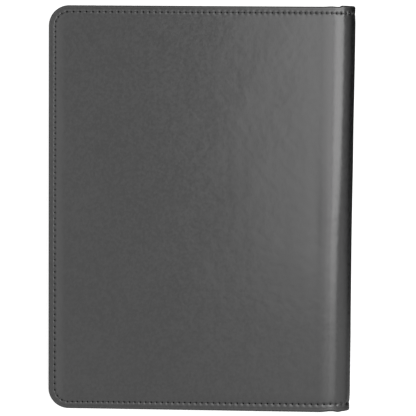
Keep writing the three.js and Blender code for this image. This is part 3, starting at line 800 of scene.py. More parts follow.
def ribbon(name, path, section, place, material):
    """A section of (thickness, width) run along a path in a plane; place puts path and width into space."""
    normal = run_and_normal(path)[1]
    flat = path[:, None, :] + normal[:, None, :] * section[None, :, :1]
    wide = np.broadcast_to(section[None, :, 1], flat.shape[:2])
    points = place(flat.reshape(-1, 2), wide.reshape(-1))
    return mesh_object(name, points, strip_faces(len(path), len(section)), material)


def arc(centre, radius, start, end, steps):
    turn = np.linspace(start, end, steps)
    return np.asarray(centre) + radius * np.stack([np.cos(turn), np.sin(turn)], 1)


def pen_loop_band(material):
    """The elastic band: from its sewn end round the pen and back onto itself, ribbed along its length."""
    low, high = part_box("pen_loop")
    thickness = ELASTIC - ELASTIC_SLACK
    fillet = 2 * MM + ELASTIC / 2
    radius = high.z - MIDDLE_Z - ELASTIC / 2
    centre = np.array([high.x - (high.z - MIDDLE_Z), MIDDLE_Z])
    lower, upper = low.z + ELASTIC / 2, low.z + 1.5 * ELASTIC
    bend_z = upper + fillet
    bend_x = centre[0] - math.sqrt((radius + fillet) ** 2 - (centre[1] - bend_z) ** 2)
    foot = np.array([bend_x, lower])
    reach = foot - centre
    leave = math.atan2(reach[1], reach[0]) + math.acos(radius / np.linalg.norm(reach))
    meet = math.atan2(bend_z - centre[1], bend_x - centre[0])
    path = np.vstack([
        np.linspace([low.x, lower], foot, 12)[:-1],
        np.linspace(foot, arc(centre, radius, leave, leave, 1)[0], 5)[:-1],
        arc(centre, radius, leave, meet + 2 * math.pi, 64)[:-1],
        arc([bend_x, bend_z], fillet, meet + math.pi, -math.pi / 2, 10)[:-1],
        np.linspace([bend_x, upper], [low.x, upper], 12),
    ])
    across = np.linspace(-1, 1, ELASTIC_RIBS * 5 + 1)
    width = (high.y - low.y) / 2
    groove = 1 - np.abs(np.sin(math.pi * ELASTIC_RIBS * (across + 1) / 2))
    swell = thickness / 2 - RIB_DEPTH * groove
    swell[[0, -1]] *= 0.5
    face = np.column_stack([swell, across * width])
    section = np.vstack([face, face[::-1] * [-1, 1]])
    middle = (low.y + high.y) / 2
    piece = ribbon(
        "elastic_pen_loop", path, section,
        lambda flat, wide: np.column_stack([flat[:, 0], middle + wide, flat[:, 1]]), material)
    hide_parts("pen_loop")
    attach(piece, "front_cover")
    seams = []
    for x in (low.x + LOOP_SEAM_MARGIN, bend_x - 1.5 * MM):
        ys = np.linspace(low.y + LOOP_SEAM_MARGIN, high.y - LOOP_SEAM_MARGIN, LOOP_STITCHES + 1)
        holes = np.column_stack([np.full(len(ys), x), ys, np.full(len(ys), upper + thickness / 2)])
        seams.append((holes, np.tile([0, 0, 1.0], (len(holes), 1))))
    return seams


def add(tree, kind, inputs=(), **settings):
    """A node with its settings and its inputs, each a value or the socket that feeds it."""
    made = tree.nodes.new(kind)
    for key, value in settings.items():
        setattr(made, key, value)
    for key, value in dict(inputs).items():
        if isinstance(value, NodeSocket):
            tree.links.new(value, made.inputs[key])
        else:
            made.inputs[key].default_value = value
    return made


def calculate(tree, operation, *values):
    """The result of a Math node."""
    return add(tree, "ShaderNodeMath", dict(enumerate(values)), operation=operation).outputs[0]


def times(tree, a, b):
    return calculate(tree, "MULTIPLY", a, b)


def size_of(tree, value, less=0.0):
    """The size of a value, or of its difference from another, without its sign."""
    return calculate(tree, "ABSOLUTE", calculate(tree, "SUBTRACT", value, less))


def scaled(tree, source, scale):
    return add(tree, "ShaderNodeVectorMath", {0: source, "Scale": scale}, operation="SCALE").outputs["Vector"]


def summed(tree, a, b):
    return add(tree, "ShaderNodeVectorMath", {0: a, 1: b}, operation="ADD").outputs["Vector"]


def length_of(tree, source):
    return add(tree, "ShaderNodeVectorMath", {0: source}, operation="LENGTH").outputs["Value"]


def split(tree, source):
    return add(tree, "ShaderNodeSeparateXYZ", {"Vector": source}).outputs


def joined(tree, **parts):
    return add(tree, "ShaderNodeCombineXYZ", parts).outputs[0]


def noise(tree, at, scale, detail, **more):
    return add(tree, "ShaderNodeTexNoise", {"Vector": at, "Scale": scale, "Detail": detail, **more}).outputs


def remap(tree, value, low, high, to_low, to_high):
    return add(tree, "ShaderNodeMapRange", {
        "Value": value, "From Min": low, "From Max": high, "To Min": to_low, "To Max": to_high,
    }, interpolation_type="SMOOTHSTEP").outputs["Result"]


def node_group(name, inputs, outputs):
    """An empty shader node group with named sockets, its inputs, and a function that feeds an output."""
    tree = bpy.data.node_groups.new(name, "ShaderNodeTree")
    for label, value in inputs.items():
        kind = "NodeSocketVector" if value is None else "NodeSocketFloat"
        made = tree.interface.new_socket(label, in_out="INPUT", socket_type=kind)
        if value is not None:
            made.default_value = value
    for label in outputs:
        tree.interface.new_socket(label, in_out="OUTPUT", socket_type="NodeSocketFloat")
    result = tree.nodes.new("NodeGroupOutput").inputs
    given = tree.nodes.new("NodeGroupInput").outputs
    return tree, given, lambda label, value: tree.links.new(value, result[label])


def grain_group():
    """Pebbled leather grain: a fine height, and a slow tone that varies over the hide."""
    tree, given, give = node_group("leather_grain", {"Vector": None, "Pebble": 0.0006}, ("Height", "Tone"))
    at = scaled(tree, given["Vector"], calculate(tree, "DIVIDE", 1.0, given["Pebble"]))
    warp = noise(tree, at, 0.7, 2.0)["Color"]
    moved = summed(tree, at, scaled(tree, warp, 0.9))
    pebbles = add(tree, "ShaderNodeTexVoronoi", {"Vector": moved, "Scale": 1.0}, feature="SMOOTH_F1")
    creases = noise(tree, at, 0.22, 5.0, Roughness=0.6)["Fac"]
    height = calculate(tree, "ADD", times(tree, pebbles.outputs["Distance"], -0.6), creases)
    dents = noise(tree, given["Vector"], 130.0, 1.0)["Fac"]
    give("Height", calculate(tree, "MULTIPLY_ADD", dents, 3.5, height))
    cloud = noise(tree, given["Vector"], 28.0, 6.0, Roughness=0.62)["Fac"]
    speck = noise(tree, given["Vector"], 520.0, 2.0)["Fac"]
    give("Tone", calculate(tree, "MULTIPLY_ADD", speck, 0.75, times(tree, cloud, 0.25)))
    return tree


def seam_group():
    """Marks that follow a seam: needle holes, the pressed channel, a crease beside it and the rim; holes and
    crease carry painted shade, the rim a painted highlight.
    """
    tree, given, give = node_group(
        "seam_marks", {"Seam": None, "Pitch": 0.0043, "Inset": 0.005, "Hole": 0.0005, "Crease": 0.0023},
        ("Hole", "Channel", "Crease", "Rim"))
    along, inset = split(tree, given["Seam"])[:2]
    phase = calculate(tree, "FRACT", calculate(tree, "ADD", along, 0.5))
    phase = calculate(tree, "SUBTRACT", phase, 0.5)
    beside = calculate(tree, "SUBTRACT", inset, given["Inset"])
    away = length_of(tree, joined(tree, X=times(tree, phase, given["Pitch"]), Y=beside))
    # Where the needle holes are painted black as shade.
    give("Hole", remap(tree, calculate(tree, "DIVIDE", away, given["Hole"]), 0.55, 1.1, 1.0, 0.0))
    side = calculate(tree, "DIVIDE", calculate(tree, "ABSOLUTE", beside), given["Hole"])
    give("Channel", remap(tree, side, 0.6, 2.4, 1.0, 0.0))
    # Where the crease beside the seam is darkened as painted shade.
    give("Crease", remap(tree, size_of(tree, inset, given["Crease"]), 0.15 * MM, 0.7 * MM, 1.0, 0.0))
    # Where the rim is lightened as a painted highlight.
    give("Rim", remap(tree, inset, 0.0, 1.7 * MM, 1.0, 0.0))
    return tree


def weave_group():
    """Plain weave: threads over and under one another, with slubs."""
    tree, given, give = node_group("plain_weave", {"Vector": None, "Spacing": 0.0005}, ("Height", "Tone"))
    at = split(tree, scaled(tree, given["Vector"], calculate(tree, "DIVIDE", math.pi, given["Spacing"])))
    # Height is counted in along the weft, so that the threads run on over upright faces.
    ways = (at["X"], calculate(tree, "ADD", at["Y"], at["Z"]))
    warp, weft = (calculate(tree, "ABSOLUTE", calculate(tree, "SINE", way)) for way in ways)
    over = times(tree, *(calculate(tree, "SINE", times(tree, way, 0.5)) for way in ways))
    lift = remap(tree, over, -0.5, 0.5, 0.0, 1.0)
    mixed = add(tree, "ShaderNodeMix", {"Factor": lift, "A": warp, "B": weft}, data_type="FLOAT")
    slub = noise(tree, given["Vector"], 900.0, 3.0)["Fac"]
    give("Height", mixed.outputs["Result"])
    # Tone follows the threads' height: lighter crowns and darker gaps, as painted highlight and painted
    # shade.
    give("Tone", times(tree, mixed.outputs["Result"], slub))
    return tree


def fibre_group():
    """Pressed fibres and flecks of paper, board and foam."""
    tree, given, give = node_group("fibres", {"Vector": None, "Scale": 900.0}, ("Height", "Fleck"))
    give("Height", noise(tree, given["Vector"], given["Scale"], 6.0, Roughness=0.7, Distortion=0.8)["Fac"])
    fleck = add(tree, "ShaderNodeTexVoronoi", {"Vector": given["Vector"], "Scale": given["Scale"]})
    give("Fleck", remap(tree, fleck.outputs["Distance"], 0.05, 0.3, 1.0, 0.0))
    return tree


class Finish:
    """A material under way: its tree, its shader and where its patterns are read."""

    def __init__(self, name, colour, **sockets):
        self.material = bpy.data.materials.new(name)
        self.material.use_nodes = True
        self.material.diffuse_color = (*colour, 1)
        self.tree = self.material.node_tree
        self.shader = self.tree.nodes["Principled BSDF"]
        self.colour = colour
        self.shader.inputs["Base Color"].default_value = (*colour, 1)
        for key, value in sockets.items():
            self.shader.inputs[key.replace("_", " ")].default_value = value
        self.at = self.tree.nodes.new("ShaderNodeTexCoord").outputs["Object"]

    def use(self, group, **inputs):
        return add(self.tree, "ShaderNodeGroup", inputs, node_tree=group).outputs

    def seam(self):
        return add(self.tree, "ShaderNodeAttribute", attribute_name="seam").outputs["Vector"]

    def feed(self, socket, value):
        self.tree.links.new(value, self.shader.inputs[socket])

    def toward(self, colour, factor, other):
        """A colour brought nearer to another by a factor."""
        return add(self.tree, "ShaderNodeMix", {"Factor": factor, "A": colour, "B": (*other, 1)},
                   data_type="RGBA").outputs["Result"]

    def shade(self, factor, dark, light):
        """Base colour between a darker and a lighter share of the finish's own colour."""
        dark, light = ([min(1, part * share) for part in self.colour] for share in (dark, light))
        return self.toward((*dark, 1), factor, light)

    def bump(self, height, distance):
        self.feed("Normal", add(self.tree, "ShaderNodeBump", {
            "Height": height, "Distance": distance, "Strength": 1.0}).outputs["Normal"])


def leather_finish(name, colour, finishes, sizes, groups, inset, crease, hole):
    """Smooth coated leather with pebble and mottled tone; painted shade in holes and crease, painted
    highlight on the rim.
    """
    made = Finish(name, colour, IOR=finishes.coating)
    tree = made.tree
    surface = made.use(groups["grain"], Vector=made.at, Pebble=finishes.pebble)
    marks = made.use(
        groups["seam"], Seam=made.seam(), Pitch=sizes.stitch_pitch, Inset=inset, Hole=hole, Crease=crease)
    mottle = remap(tree, surface["Tone"], 0.36, 0.64, 0.0, 1.0)
    base = made.shade(mottle, 0.55, 1.45)
    # A lighter colour along the rim, varied by the tone: a painted highlight of the rounded edge.
    rim_highlight = times(tree, marks["Rim"], surface["Tone"])
    base = made.toward(base, rim_highlight, [min(1, 4 * part) for part in colour])
    # The needle holes are painted black: painted shade inside each hole.
    made.feed("Base Color", made.toward(base, marks["Hole"], PAINTED_HOLE_SHADE))
    worn = remap(tree, mottle, 0.0, 1.0, finishes.roughness - 0.03, finishes.roughness + 0.035)
    # Metallic over the black holes takes their reflection away, and a little over the crease darkens it:
    # painted shade.
    made.feed("Metallic", calculate(tree, "MULTIPLY_ADD", marks["Crease"], 0.16, marks["Hole"]))
    made.feed("Roughness", calculate(tree, "MULTIPLY_ADD", marks["Channel"], 0.04, worn))
    made.bump(surface["Height"], 0.025 * MM)


def cloth_finish(name, colour, spacing, groups, roughness):
    """Woven cloth, its colour lighter on the thread crowns and darker between them: painted highlight and
    painted shade.
    """
    made = Finish(name, colour, Roughness=roughness, Sheen_Weight=0.25, Sheen_Roughness=0.5)
    threads = made.use(groups["weave"], Vector=made.at, Spacing=spacing)
    # The weave's tone paints highlight on the crowns and shade between the threads.
    made.feed("Base Color", made.shade(threads["Tone"], 0.4, 2.2))
    made.bump(threads["Height"], 0.12 * MM)


def thread_finish(colour):
    """Twisted sewing thread, its colour darker in the grooves of the twist as painted shade."""
    made = Finish("sewing_thread", colour, Roughness=0.6, Sheen_Weight=0.2)
    twist = add(made.tree, "ShaderNodeTexWave", {"Vector": made.at, "Scale": 900.0, "Distortion": 2.0},
                bands_direction="DIAGONAL")
    # Colour follows the twist's height: painted shade in its grooves and painted highlight on its ridges.
    made.feed("Base Color", made.shade(twist.outputs["Fac"], 0.65, 1.3))
    made.bump(twist.outputs["Fac"], 0.05 * MM)


def board_finish(name, colour, scale, groups, light=1.25):
    """Pressed board or foam with fibres and flecks."""
    made = Finish(name, colour, Roughness=0.9)
    surface = made.use(groups["fibres"], Vector=made.at, Scale=scale)
    base = made.shade(surface["Height"], 0.8, light)
    flecked = times(made.tree, surface["Fleck"], 0.35)
    made.feed("Base Color", made.toward(base, flecked, [part * 0.55 for part in colour]))
    made.bump(surface["Height"], 0.06 * MM)


def paper_finish(colour, ruling, groups):
    """Ruled writing paper: pale lines across its face below the head, and a line along its side."""
    made = Finish("ruled_paper", colour, Roughness=0.85)
    tree = made.tree
    surface = made.use(groups["fibres"], Vector=made.at, Scale=1400.0)
    base = made.shade(surface["Height"], 0.94, 1.04)
    place = split(tree, made.at)
    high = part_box("pad_paper_block")[1]
    part = calculate(tree, "FRACT", calculate(tree, "DIVIDE", place["Y"], ruling))
    line = remap(tree, size_of(tree, part, 0.5), 0.016, 0.03, 1.0, 0.0)
    below = calculate(tree, "LESS_THAN", place["Y"], high.y - RULED_FROM)
    base = made.toward(base, times(tree, times(tree, line, below), 0.75), RULE_BLUE)
    margin = remap(tree, size_of(tree, place["X"], high.x - RULED_FROM), 0.15 * MM, 0.3 * MM, 1.0, 0.0)
    made.feed("Base Color", made.toward(base, times(tree, margin, 0.7), MARGIN_RED))
    made.bump(surface["Height"], 0.02 * MM)


def materials(context):
    """Every finish by name, made once."""
    if "smooth_hide" in bpy.data.materials:
        return bpy.data.materials
    finishes, sizes = context.scene.portfolio_finishes, context.scene.portfolio_sizes
    groups = {"grain": grain_group(), "seam": seam_group(), "weave": weave_group(), "fibres": fibre_group()}
    leather_finish("smooth_hide", finishes.leather, finishes, sizes, groups, sizes.seam_inset,
                   sizes.edge_crease, sizes.hole)
    # A crease at less than no inset lies off the panel: pockets have none.
    leather_finish("pocket_hide", finishes.pocket, finishes, sizes, groups, PANEL_SEAM, -PANEL_SEAM,
                   0.65 * sizes.hole)
    cloth_finish("lining_cloth", finishes.lining, finishes.weave, groups, 0.75)
    cloth_finish("elastic_cloth", finishes.elastic, 0.7 * finishes.weave, groups, 0.8)
    cloth_finish("binding_cloth", finishes.lining, 0.6 * finishes.weave, groups, 0.6)
    thread_finish(finishes.thread)
    board_finish("grey_board", GREY_BOARD, 700.0, groups)
    board_finish("backing_board", finishes.board, 600.0, groups)
    board_finish("padding_foam", FOAM_GREY, 1100.0, groups, 1.8)
    paper_finish(finishes.paper, sizes.ruling, groups)
    return bpy.data.materials


def geometry_tree(name, sockets):
    """An empty geometry tree with named inputs, each (label, kind, value), and the sockets they come from."""
    tree = bpy.data.node_groups.new(name, "GeometryNodeTree")
    for label, kind, value in sockets:
        item = tree.interface.new_socket(label, in_out="INPUT", socket_type=f"NodeSocket{kind}")
        if value is not None:
            item.default_value = value
    tree.interface.new_socket("Geometry", in_out="OUTPUT", socket_type="NodeSocketGeometry")
    return tree, tree.nodes.new("NodeGroupInput").outputs


def chain(tree, geometry, *steps):
    """Runs a geometry through following nodes, each (kind, inputs), to the tree's output."""
    for kind, inputs in steps:
        geometry = add(tree, kind, {"Geometry": geometry, **inputs}).outputs[0]
    tree.links.new(geometry, tree.nodes.new("NodeGroupOutput").inputs[0])


def stitch_tree():
    """Stitches on the points of a seam: each lies along its run, slanted, with both ends drawn in."""
    tree, given = geometry_tree("stitches_on_a_seam", (
        ("Seam", "Geometry", None), ("Coverage", "Float", 0.8), ("Thread", "Float", 0.0006),
        ("Rise", "Float", 0.0005), ("Dip", "Float", 0.0003), ("Slant", "Float", 0.1),
        ("Unevenness", "Float", 0.05), ("Seed", "Int", 0), ("Finish", "Material", None),
    ))
    down = times(tree, given["Dip"], -1.0)
    line = add(tree, "GeometryNodeCurveQuadraticBezier", {
        "Resolution": 6, "Start": joined(tree, X=-0.5, Z=down), "Middle": joined(tree, Z=given["Rise"]),
        "End": joined(tree, X=0.5, Z=down)})
    round_thread = add(tree, "GeometryNodeCurvePrimitiveCircle", {
        "Resolution": 6, "Radius": times(tree, given["Thread"], 0.5)})
    tube = add(tree, "GeometryNodeCurveToMesh", {
        "Curve": line.outputs[0], "Profile Curve": round_thread.outputs[0], "Fill Caps": True})
    run, face = (
        add(tree, "GeometryNodeInputNamedAttribute", {"Name": name}, data_type="FLOAT_VECTOR")
        .outputs["Attribute"] for name in ("run", "face"))
    turned = add(tree, "FunctionNodeAlignRotationToVector", {"Vector": run}, axis="X").outputs[0]
    turned = add(tree, "FunctionNodeAlignRotationToVector", {
        "Rotation": turned, "Vector": face}, axis="Z", pivot_axis="X").outputs[0]
    uneven = add(tree, "FunctionNodeRandomValue", {
        "Min": times(tree, given["Unevenness"], -1.0), "Max": given["Unevenness"],
        "Seed": given["Seed"]}, data_type="FLOAT")
    uneven = next(socket for socket in uneven.outputs if socket.enabled)
    slant = add(tree, "FunctionNodeAxisAngleToRotation", {
        "Axis": (0, 0, 1), "Angle": calculate(tree, "ADD", given["Slant"], uneven)}).outputs[0]
    turned = add(tree, "FunctionNodeRotateRotation", {
        "Rotation": turned, "Rotate By": slant}, rotation_space="LOCAL").outputs[0]
    long = times(tree, length_of(tree, run), given["Coverage"])
    laid = add(tree, "GeometryNodeInstanceOnPoints", {
        "Points": given["Seam"], "Instance": tube.outputs[0], "Rotation": turned,
        "Scale": joined(tree, X=long, Y=1.0, Z=1.0)})
    chain(tree, laid.outputs[0], ("GeometryNodeRealizeInstances", {}), ("GeometryNodeSetShadeSmooth", {}),
          ("GeometryNodeSetMaterial", {"Material": given["Finish"]}))
    return tree


def sheet_tree():
    """A stack of paper sheets, each moved a little at random along its plane."""
    tree, given = geometry_tree("stack_of_sheets", (
        ("Base", "Geometry", None), ("Sheets", "Int", 45), ("Size", "Vector", None),
        ("Step", "Float", 0.0001), ("Shift", "Float", 0.0001), ("Seed", "Int", 0),
        ("Finish", "Material", None),
    ))
    corner = add(tree, "GeometryNodeInputPosition").outputs[0]
    stack = add(tree, "GeometryNodeDuplicateElements", {"Geometry": given["Base"], "Amount": given["Sheets"]},
                domain="POINT")
    shift = add(tree, "FunctionNodeRandomValue", {"Seed": given["Seed"]}, data_type="FLOAT_VECTOR")
    shift.inputs["Min"].default_value = (-1, -1, 0)
    shift.inputs["Max"].default_value = (1, 0, 0)
    lifted = joined(tree, Z=times(tree, stack.outputs["Duplicate Index"], given["Step"]))
    placed = add(tree, "GeometryNodeSetPosition", {
        "Geometry": stack.outputs["Geometry"], "Position": summed(tree, corner, lifted),
        "Offset": scaled(tree, shift.outputs["Value"], given["Shift"])})
    sheet = add(tree, "GeometryNodeMeshCube", {"Size": given["Size"]})
    laid = add(tree, "GeometryNodeInstanceOnPoints", {
        "Points": placed.outputs[0], "Instance": sheet.outputs[0]})
    chain(tree, laid.outputs[0], ("GeometryNodeRealizeInstances", {}),
          ("GeometryNodeSetMaterial", {"Material": given["Finish"]}))
    return tree


def grow(name, points, tree, values, **vectors):
    """The plain mesh that a geometry tree makes on points with their vectors; values are its inputs."""
    mesh = bpy.data.meshes.new(name)
    mesh.from_pydata(points, [], [])
    for label, rows in vectors.items():
        mesh.attributes.new(label, "FLOAT_VECTOR", "POINT").data.foreach_set("vector", rows.ravel())
    source = put(name, mesh)
    modifier = source.modifiers.new("nodes", "NODES")
    modifier.node_group = tree
    for item in tree.interface.items_tree:
        if item.in_out == "INPUT" and item.name in values:
            modifier[item.identifier] = values[item.name]
    depsgraph = bpy.context.evaluated_depsgraph_get()
    mesh = bpy.data.meshes.new_from_object(source.evaluated_get(depsgraph))
    mesh.name = name
    source.modifiers.clear()
    bpy.data.objects.remove(source)
    return put(name, mesh)


def sew(name, seams, context):
    """Stitches between the needle holes of seams, each (places of the holes, outward directions)."""
    thread = context.scene.portfolio_sizes.thread
    centres = np.concatenate([(holes[1:] + holes[:-1]) / 2 for holes, _ in seams])
    runs = np.concatenate([np.diff(holes, axis=0) for holes, _ in seams])
    faces = np.concatenate([(out[1:] + out[:-1]) / 2 for _, out in seams])
    tree = bpy.data.node_groups.get("stitches_on_a_seam") or stitch_tree()
    return grow(name, centres.tolist(), tree, {
        "Coverage": STITCH_COVERAGE, "Thread": thread, "Rise": STITCH_RISE * thread,
        "Dip": STITCH_DIP * thread, "Slant": math.radians(STITCH_SLANT),
        "Unevenness": math.radians(STITCH_UNEVENNESS), "Seed": STITCH_SEED,
        "Finish": materials(context)["sewing_thread"],
    }, run=runs, face=faces)


def paper_stack(context):
    """The pad's sheets, which lie head to head under the tape and a little uneven at the other edges."""
    sheets = context.scene.portfolio_sizes.sheets
    low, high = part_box("pad_paper_block")
    step = (high.z - low.z) / sheets
    base = [((low.x + high.x) / 2, (low.y + high.y) / 2, low.z + step / 2)]
    piece = grow("paper_stack", base, sheet_tree(), {
        "Sheets": sheets, "Size": (high.x - low.x, high.y - low.y, SHEET_SHARE * step), "Step": step,
        "Shift": SHEET_SHIFT, "Seed": SHEET_SEED, "Finish": materials(context)["ruled_paper"],
    })
    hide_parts("pad_paper_block")
    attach(piece, "writing_pad")


def tape_strip(context):
    """The tape over the head of the pad, folded softly round its top edge."""
    low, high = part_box("pad_binding_tape")
    half = TAPE / 2
    path = rounded_path([
        (low.y, low.z + half, 0), (high.y - half, low.z + half, TAPE_RADIUS),
        (high.y - half, high.z - half, TAPE_RADIUS), (low.y, high.z - half, 0),
    ], closed=False)
    width = high.x - low.x
    line = np.column_stack([np.zeros(3), np.linspace(half, width - half, 3)])
    piece = ribbon(
        "folded_binding_tape", path, thick_line(line, TAPE_SHARE * TAPE),
        lambda flat, wide: np.column_stack([low.x + wide, flat[:, 0], flat[:, 1]]),
        materials(context)["binding_cloth"])
    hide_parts("pad_binding_tape")
    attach(piece, "writing_pad")


def dress(node, material):
    """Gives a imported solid, whose shape is right as it is, its finish."""
    mesh = frame["nodes"][node].data
    mesh.materials.clear()
    mesh.materials.append(material)


class PORTFOLIO_OT_covers(Operator):
    """Makes the outer leather of both covers and the rolled spine"""

    bl_idname = "portfolio.covers"
    bl_label = "Covers"

    def execute(self, context):
        sizes = context.scene.portfolio_sizes
        edge, grid = cover_edge(sizes, 6, spine_gathers(sizes)), cover_grid()
        for side in (BACK, FRONT):
            cover_skin(side, edge, sizes, grid, materials(context)["smooth_hide"])
        return {"FINISHED"}


class PORTFOLIO_OT_padding(Operator):
    """Makes the foam layers under the leather"""

    bl_idname = "portfolio.padding"
    bl_label = "Padding"

    def execute(self, context):
        edge, grid = cover_edge(context.scene.portfolio_sizes, 1), cover_grid()
        for side in (BACK, FRONT):
            cover_padding(side, edge, grid, materials(context)["padding_foam"])
        return {"FINISHED"}


class PORTFOLIO_OT_boards(Operator):
    """Gives the stiff boards of the covers and of the pad their finish"""

    bl_idname = "portfolio.boards"
    bl_label = "Boards"

    def execute(self, context):
        made = materials(context)
        for node in ("front_board", "back_board"):
            dress(node, made["grey_board"])
        dress("pad_backing_board", made["backing_board"])
        return {"FINISHED"}


class PORTFOLIO_OT_linings(Operator):
    """Makes the cloth lining of both covers and the spine"""

    bl_idname = "portfolio.linings"
    bl_label = "Linings"

    def execute(self, context):
        sizes = context.scene.portfolio_sizes
        edge, grid = cover_edge(sizes, 4), cover_grid()
        for side in (BACK, FRONT):
            cover_lining(side, edge, sizes, grid, materials(context)["lining_cloth"])
        return {"FINISHED"}


class PORTFOLIO_OT_pockets(Operator):
    """Makes the document pocket, the card pockets and the pad's pocket, with their seams"""

    bl_idname = "portfolio.pockets"
    bl_label = "Pockets"

    def execute(self, context):
        sizes = context.scene.portfolio_sizes
        leather = materials(context)["pocket_hide"]
        front_seams, back_seams = [], []
        for pocket, up, body, seams in (
                ("document_pocket", 1, "front_cover", front_seams),
                ("pad_pocket", -1, "back_cover", back_seams)):
            low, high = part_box(f"{pocket}_panel")
            path = panel_path(low, high, corner_of(sizes, low), POCKET_SPINE_RADIUS, notch=up > 0)
            piece, seam = sewn_panel(
                f"{pocket}_face", f"{pocket}_panel", path, up, PANEL_SEAM, PANEL_BAND, sizes, leather)
            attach(piece, body)
            seams.append(seam)
        count = sum(name.startswith("card_pocket_") for name in frame["nodes"])
        for number in range(1, count + 1):
            node = f"card_pocket_{number}"
            low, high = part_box(node)
            path = panel_path(low, high, CARD_RADIUS, CARD_RADIUS)
            piece, (holes, out) = sewn_panel(
                f"card_pocket_face_{number}", node, path, 1, CARD_SEAM, CARD_BAND, sizes, leather,
                CARD_CREASE)
            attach(piece, "front_cover")
            # The seam of a pocket shows only above the next pocket, which lies over it, and below its mouth.
            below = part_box(f"card_pocket_{number + 1}")[1].y if number < count else low.y
            shown = (holes[:, 1] > below) & (holes[:, 1] < high.y - CARD_RADIUS)
            for run in np.split(np.arange(len(holes)), np.flatnonzero(np.diff(shown.astype(int))) + 1):
                if shown[run[0]] and len(run) > 1:
                    front_seams.append((holes[run], out[run]))
        pocket_bellows(sizes, leather)
        pad_welt(sizes, leather)
        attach(sew("pocket_stitching", front_seams, context), "front_cover")
        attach(sew("pad_pocket_stitching", back_seams, context), "back_cover")
        return {"FINISHED"}


class PORTFOLIO_OT_pen_loop(Operator):
    """Makes the elastic pen loop and the seams that hold it"""

    bl_idname = "portfolio.pen_loop"
    bl_label = "Pen loop"

    def execute(self, context):
        seams = pen_loop_band(materials(context)["elastic_cloth"])
        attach(sew("pen_loop_stitching", seams, context), "front_cover")
        return {"FINISHED"}


class PORTFOLIO_OT_writing_pad(Operator):
    """Makes the pad's sheets and its binding tape"""

    bl_idname = "portfolio.writing_pad"
    bl_label = "Writing pad"

    def execute(self, context):
        paper_stack(context)
        tape_strip(context)
        return {"FINISHED"}


class PORTFOLIO_OT_edge_stitching(Operator):
    """Sews both covers round their edges, outside and inside"""

    bl_idname = "portfolio.edge_stitching"
    bl_label = "Edge stitching"

    def execute(self, context):
        sizes = context.scene.portfolio_sizes
        edge = cover_edge(sizes, 6)
        holes = edge.holes(sizes.seam_inset)
        between = np.full(len(holes), 0.5)
        outer = cover_relief(sizes)(holes, between, sizes.seam_inset)
        inner = lining_depth(sizes)(holes, between, sizes.seam_inset)
        for side in (BACK, FRONT):
            place = wrap(side)
            seams = [
                (place(holes, outer), wrap_normal(side, holes, 1)),
                (place(holes, inner), wrap_normal(side, holes, -1)),
            ]
            bend(sew(f"{SIDE_NAME[side]}_edge_stitching", seams, context), side)
        return {"FINISHED"}


# Stage.
LIGHT_POWER = math.pi  # watts that give each square metre of a softbox a brightness of 1
SOFTBOX_ROWS = ((0.6, 1.2), (-0.15, 0.3), (-0.6, 0.6))  # Y of the middle and depth, from head to foot
# Name, X, height and width of each column of softboxes.
SOFTBOX_COLUMNS = (("overhead", 0.45, 2.1, 0.84), ("between", 0.69, 2.0, 0.37), ("key", 1.4, 1.9, 1.05))
WHITE = (1, 1, 1, 1)


def softbox(name, place, width, height, brightness, aimed=False):
    """A rectangular light that faces straight down, or at the object."""
    data = bpy.data.lights.new(name, "AREA")
    data.shape, data.size, data.size_y = "RECTANGLE", width, height
    data.energy = LIGHT_POWER * width * height * brightness
    made = put(name, data)
    made.location = place
    if aimed:
        made.rotation_euler = (-Vector(place)).to_track_quat("-Z", "Y").to_euler()
    made.visible_camera = False


def studio_world(room, zenith, card):
    """A pale room to the eye, a soft even light on the object, and darker in its gloss, below most of all."""
    world = bpy.data.worlds.new("studio")
    world.use_nodes = True
    tree = world.node_tree
    tree.nodes.clear()
    path = tree.nodes.new("ShaderNodeLightPath").outputs
    way = split(tree, tree.nodes.new("ShaderNodeTexCoord").outputs["Generated"])
    ceiling = remap(tree, way["Z"], 0.0, 0.9, 0.02, zenith)
    # The card stands low beyond the foot of the spine.
    low = remap(tree, way["X"], 0.25, 0.8, 0.0, card)
    low = times(tree, low, remap(tree, way["Y"], -0.21, -0.11, 1.0, 0.0))
    low = times(tree, low, remap(tree, way["Z"], -0.25, 0.2, 1.0, 0.0))
    gloss, soft, eye = (
        add(tree, "ShaderNodeBackground", {"Color": colour, "Strength": strength}).outputs[0]
        for colour, strength in (
            (WHITE, calculate(tree, "ADD", ceiling, low)), (WHITE, room), ((0.95, 0.95, 0.95, 1), 1.0)))
    mixed = add(tree, "ShaderNodeMixShader", {0: path["Is Glossy Ray"], 1: soft, 2: gloss}).outputs[0]
    mixed = add(tree, "ShaderNodeMixShader", {0: path["Is Camera Ray"], 1: mixed, 2: eye}).outputs[0]
    tree.links.new(mixed, tree.nodes.new("ShaderNodeOutputWorld").inputs["Surface"])
    bpy.context.scene.world = world


def table(glow):
    """A pale lit table under the portfolio."""
    finish = Finish(
        "pale_table", (0.9, 0.9, 0.9), Roughness=0.9, Emission_Color=WHITE, Emission_Strength=glow)
    reach, height = 12.0, CAD_LOW.z - 0.25 * MM
    corners = [(x * reach, y * reach, height) for x, y in ((-1, -1), (1, -1), (1, 1), (-1, 1))]
    top = mesh_object("table", corners, [(0, 1, 2, 3)], finish.material)
    top.visible_glossy = False


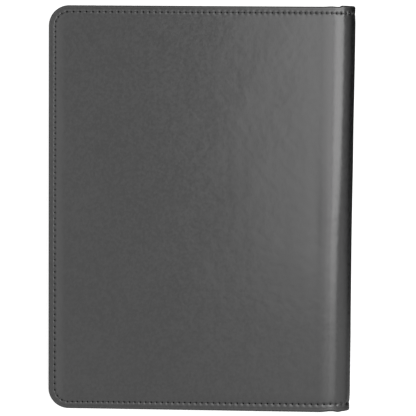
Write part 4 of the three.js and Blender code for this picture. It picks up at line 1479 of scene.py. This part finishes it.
class PORTFOLIO_OT_stage(Operator):
    """Makes the floor, the lights and the camera"""

    bl_idname = "portfolio.stage"
    bl_label = "Stage"

    def execute(self, context):
        scene, stage = context.scene, context.scene.portfolio_stage
        table(stage.glow)
        studio_world(stage.room, stage.zenith, stage.card)
        for row, (y, depth) in enumerate(SOFTBOX_ROWS):
            for name, x, z, width in SOFTBOX_COLUMNS:
                softbox(f"{name}_{row + 1}", (x, y, z), width, depth, getattr(stage, name)[row])
        softbox("fore", (-0.78, 0.1, 2.0), 0.5, 1.8, stage.fore)
        softbox("foot", (1.1, -0.6, 0.35), 0.9, 1.1, stage.foot, aimed=True)
        data = bpy.data.cameras.new("camera")
        data.lens, data.sensor_width, data.clip_start, data.clip_end = stage.lens, 36.0, 0.01, 50.0
        camera = put("camera", data)
        camera.location, camera.rotation_euler = stage.camera, stage.aim
        scene.camera = camera
        scene.view_settings.view_transform = "Standard"
        return {"FINISHED"}


STEPS = (
    PORTFOLIO_OT_stage,
    PORTFOLIO_OT_covers,
    PORTFOLIO_OT_padding,
    PORTFOLIO_OT_boards,
    PORTFOLIO_OT_linings,
    PORTFOLIO_OT_pockets,
    PORTFOLIO_OT_pen_loop,
    PORTFOLIO_OT_writing_pad,
    PORTFOLIO_OT_edge_stitching,
)


class PORTFOLIO_PT_sidebar(Panel):
    """The steps that make the portfolio"""

    bl_label = "Document portfolio"
    bl_idname = "PORTFOLIO_PT_sidebar"
    bl_space_type = "VIEW_3D"
    bl_region_type = "UI"
    bl_category = "Portfolio"

    def draw(self, context):
        for group in ("portfolio_sizes", "portfolio_finishes", "portfolio_stage"):
            box = self.layout.box()
            settings = getattr(context.scene, group)
            for name in settings.__annotations__:
                box.prop(settings, name)
        for step in STEPS:
            self.layout.operator(step.bl_idname)


CLASSES = (PortfolioSizes, PortfolioFinishes, PortfolioStage, *STEPS, PORTFOLIO_PT_sidebar)


def register():
    for cls in CLASSES:
        bpy.utils.register_class(cls)
    bpy.types.Scene.portfolio_sizes = PointerProperty(type=PortfolioSizes)
    bpy.types.Scene.portfolio_finishes = PointerProperty(type=PortfolioFinishes)
    bpy.types.Scene.portfolio_stage = PointerProperty(type=PortfolioStage)


def unregister():
    del bpy.types.Scene.portfolio_stage
    del bpy.types.Scene.portfolio_finishes
    del bpy.types.Scene.portfolio_sizes
    for cls in reversed(CLASSES):
        bpy.utils.unregister_class(cls)


def main():
    register()
    for step in STEPS:
        area, name = step.bl_idname.split(".")
        getattr(getattr(bpy.ops, area), name)()


if __name__ == "__main__":
    main()
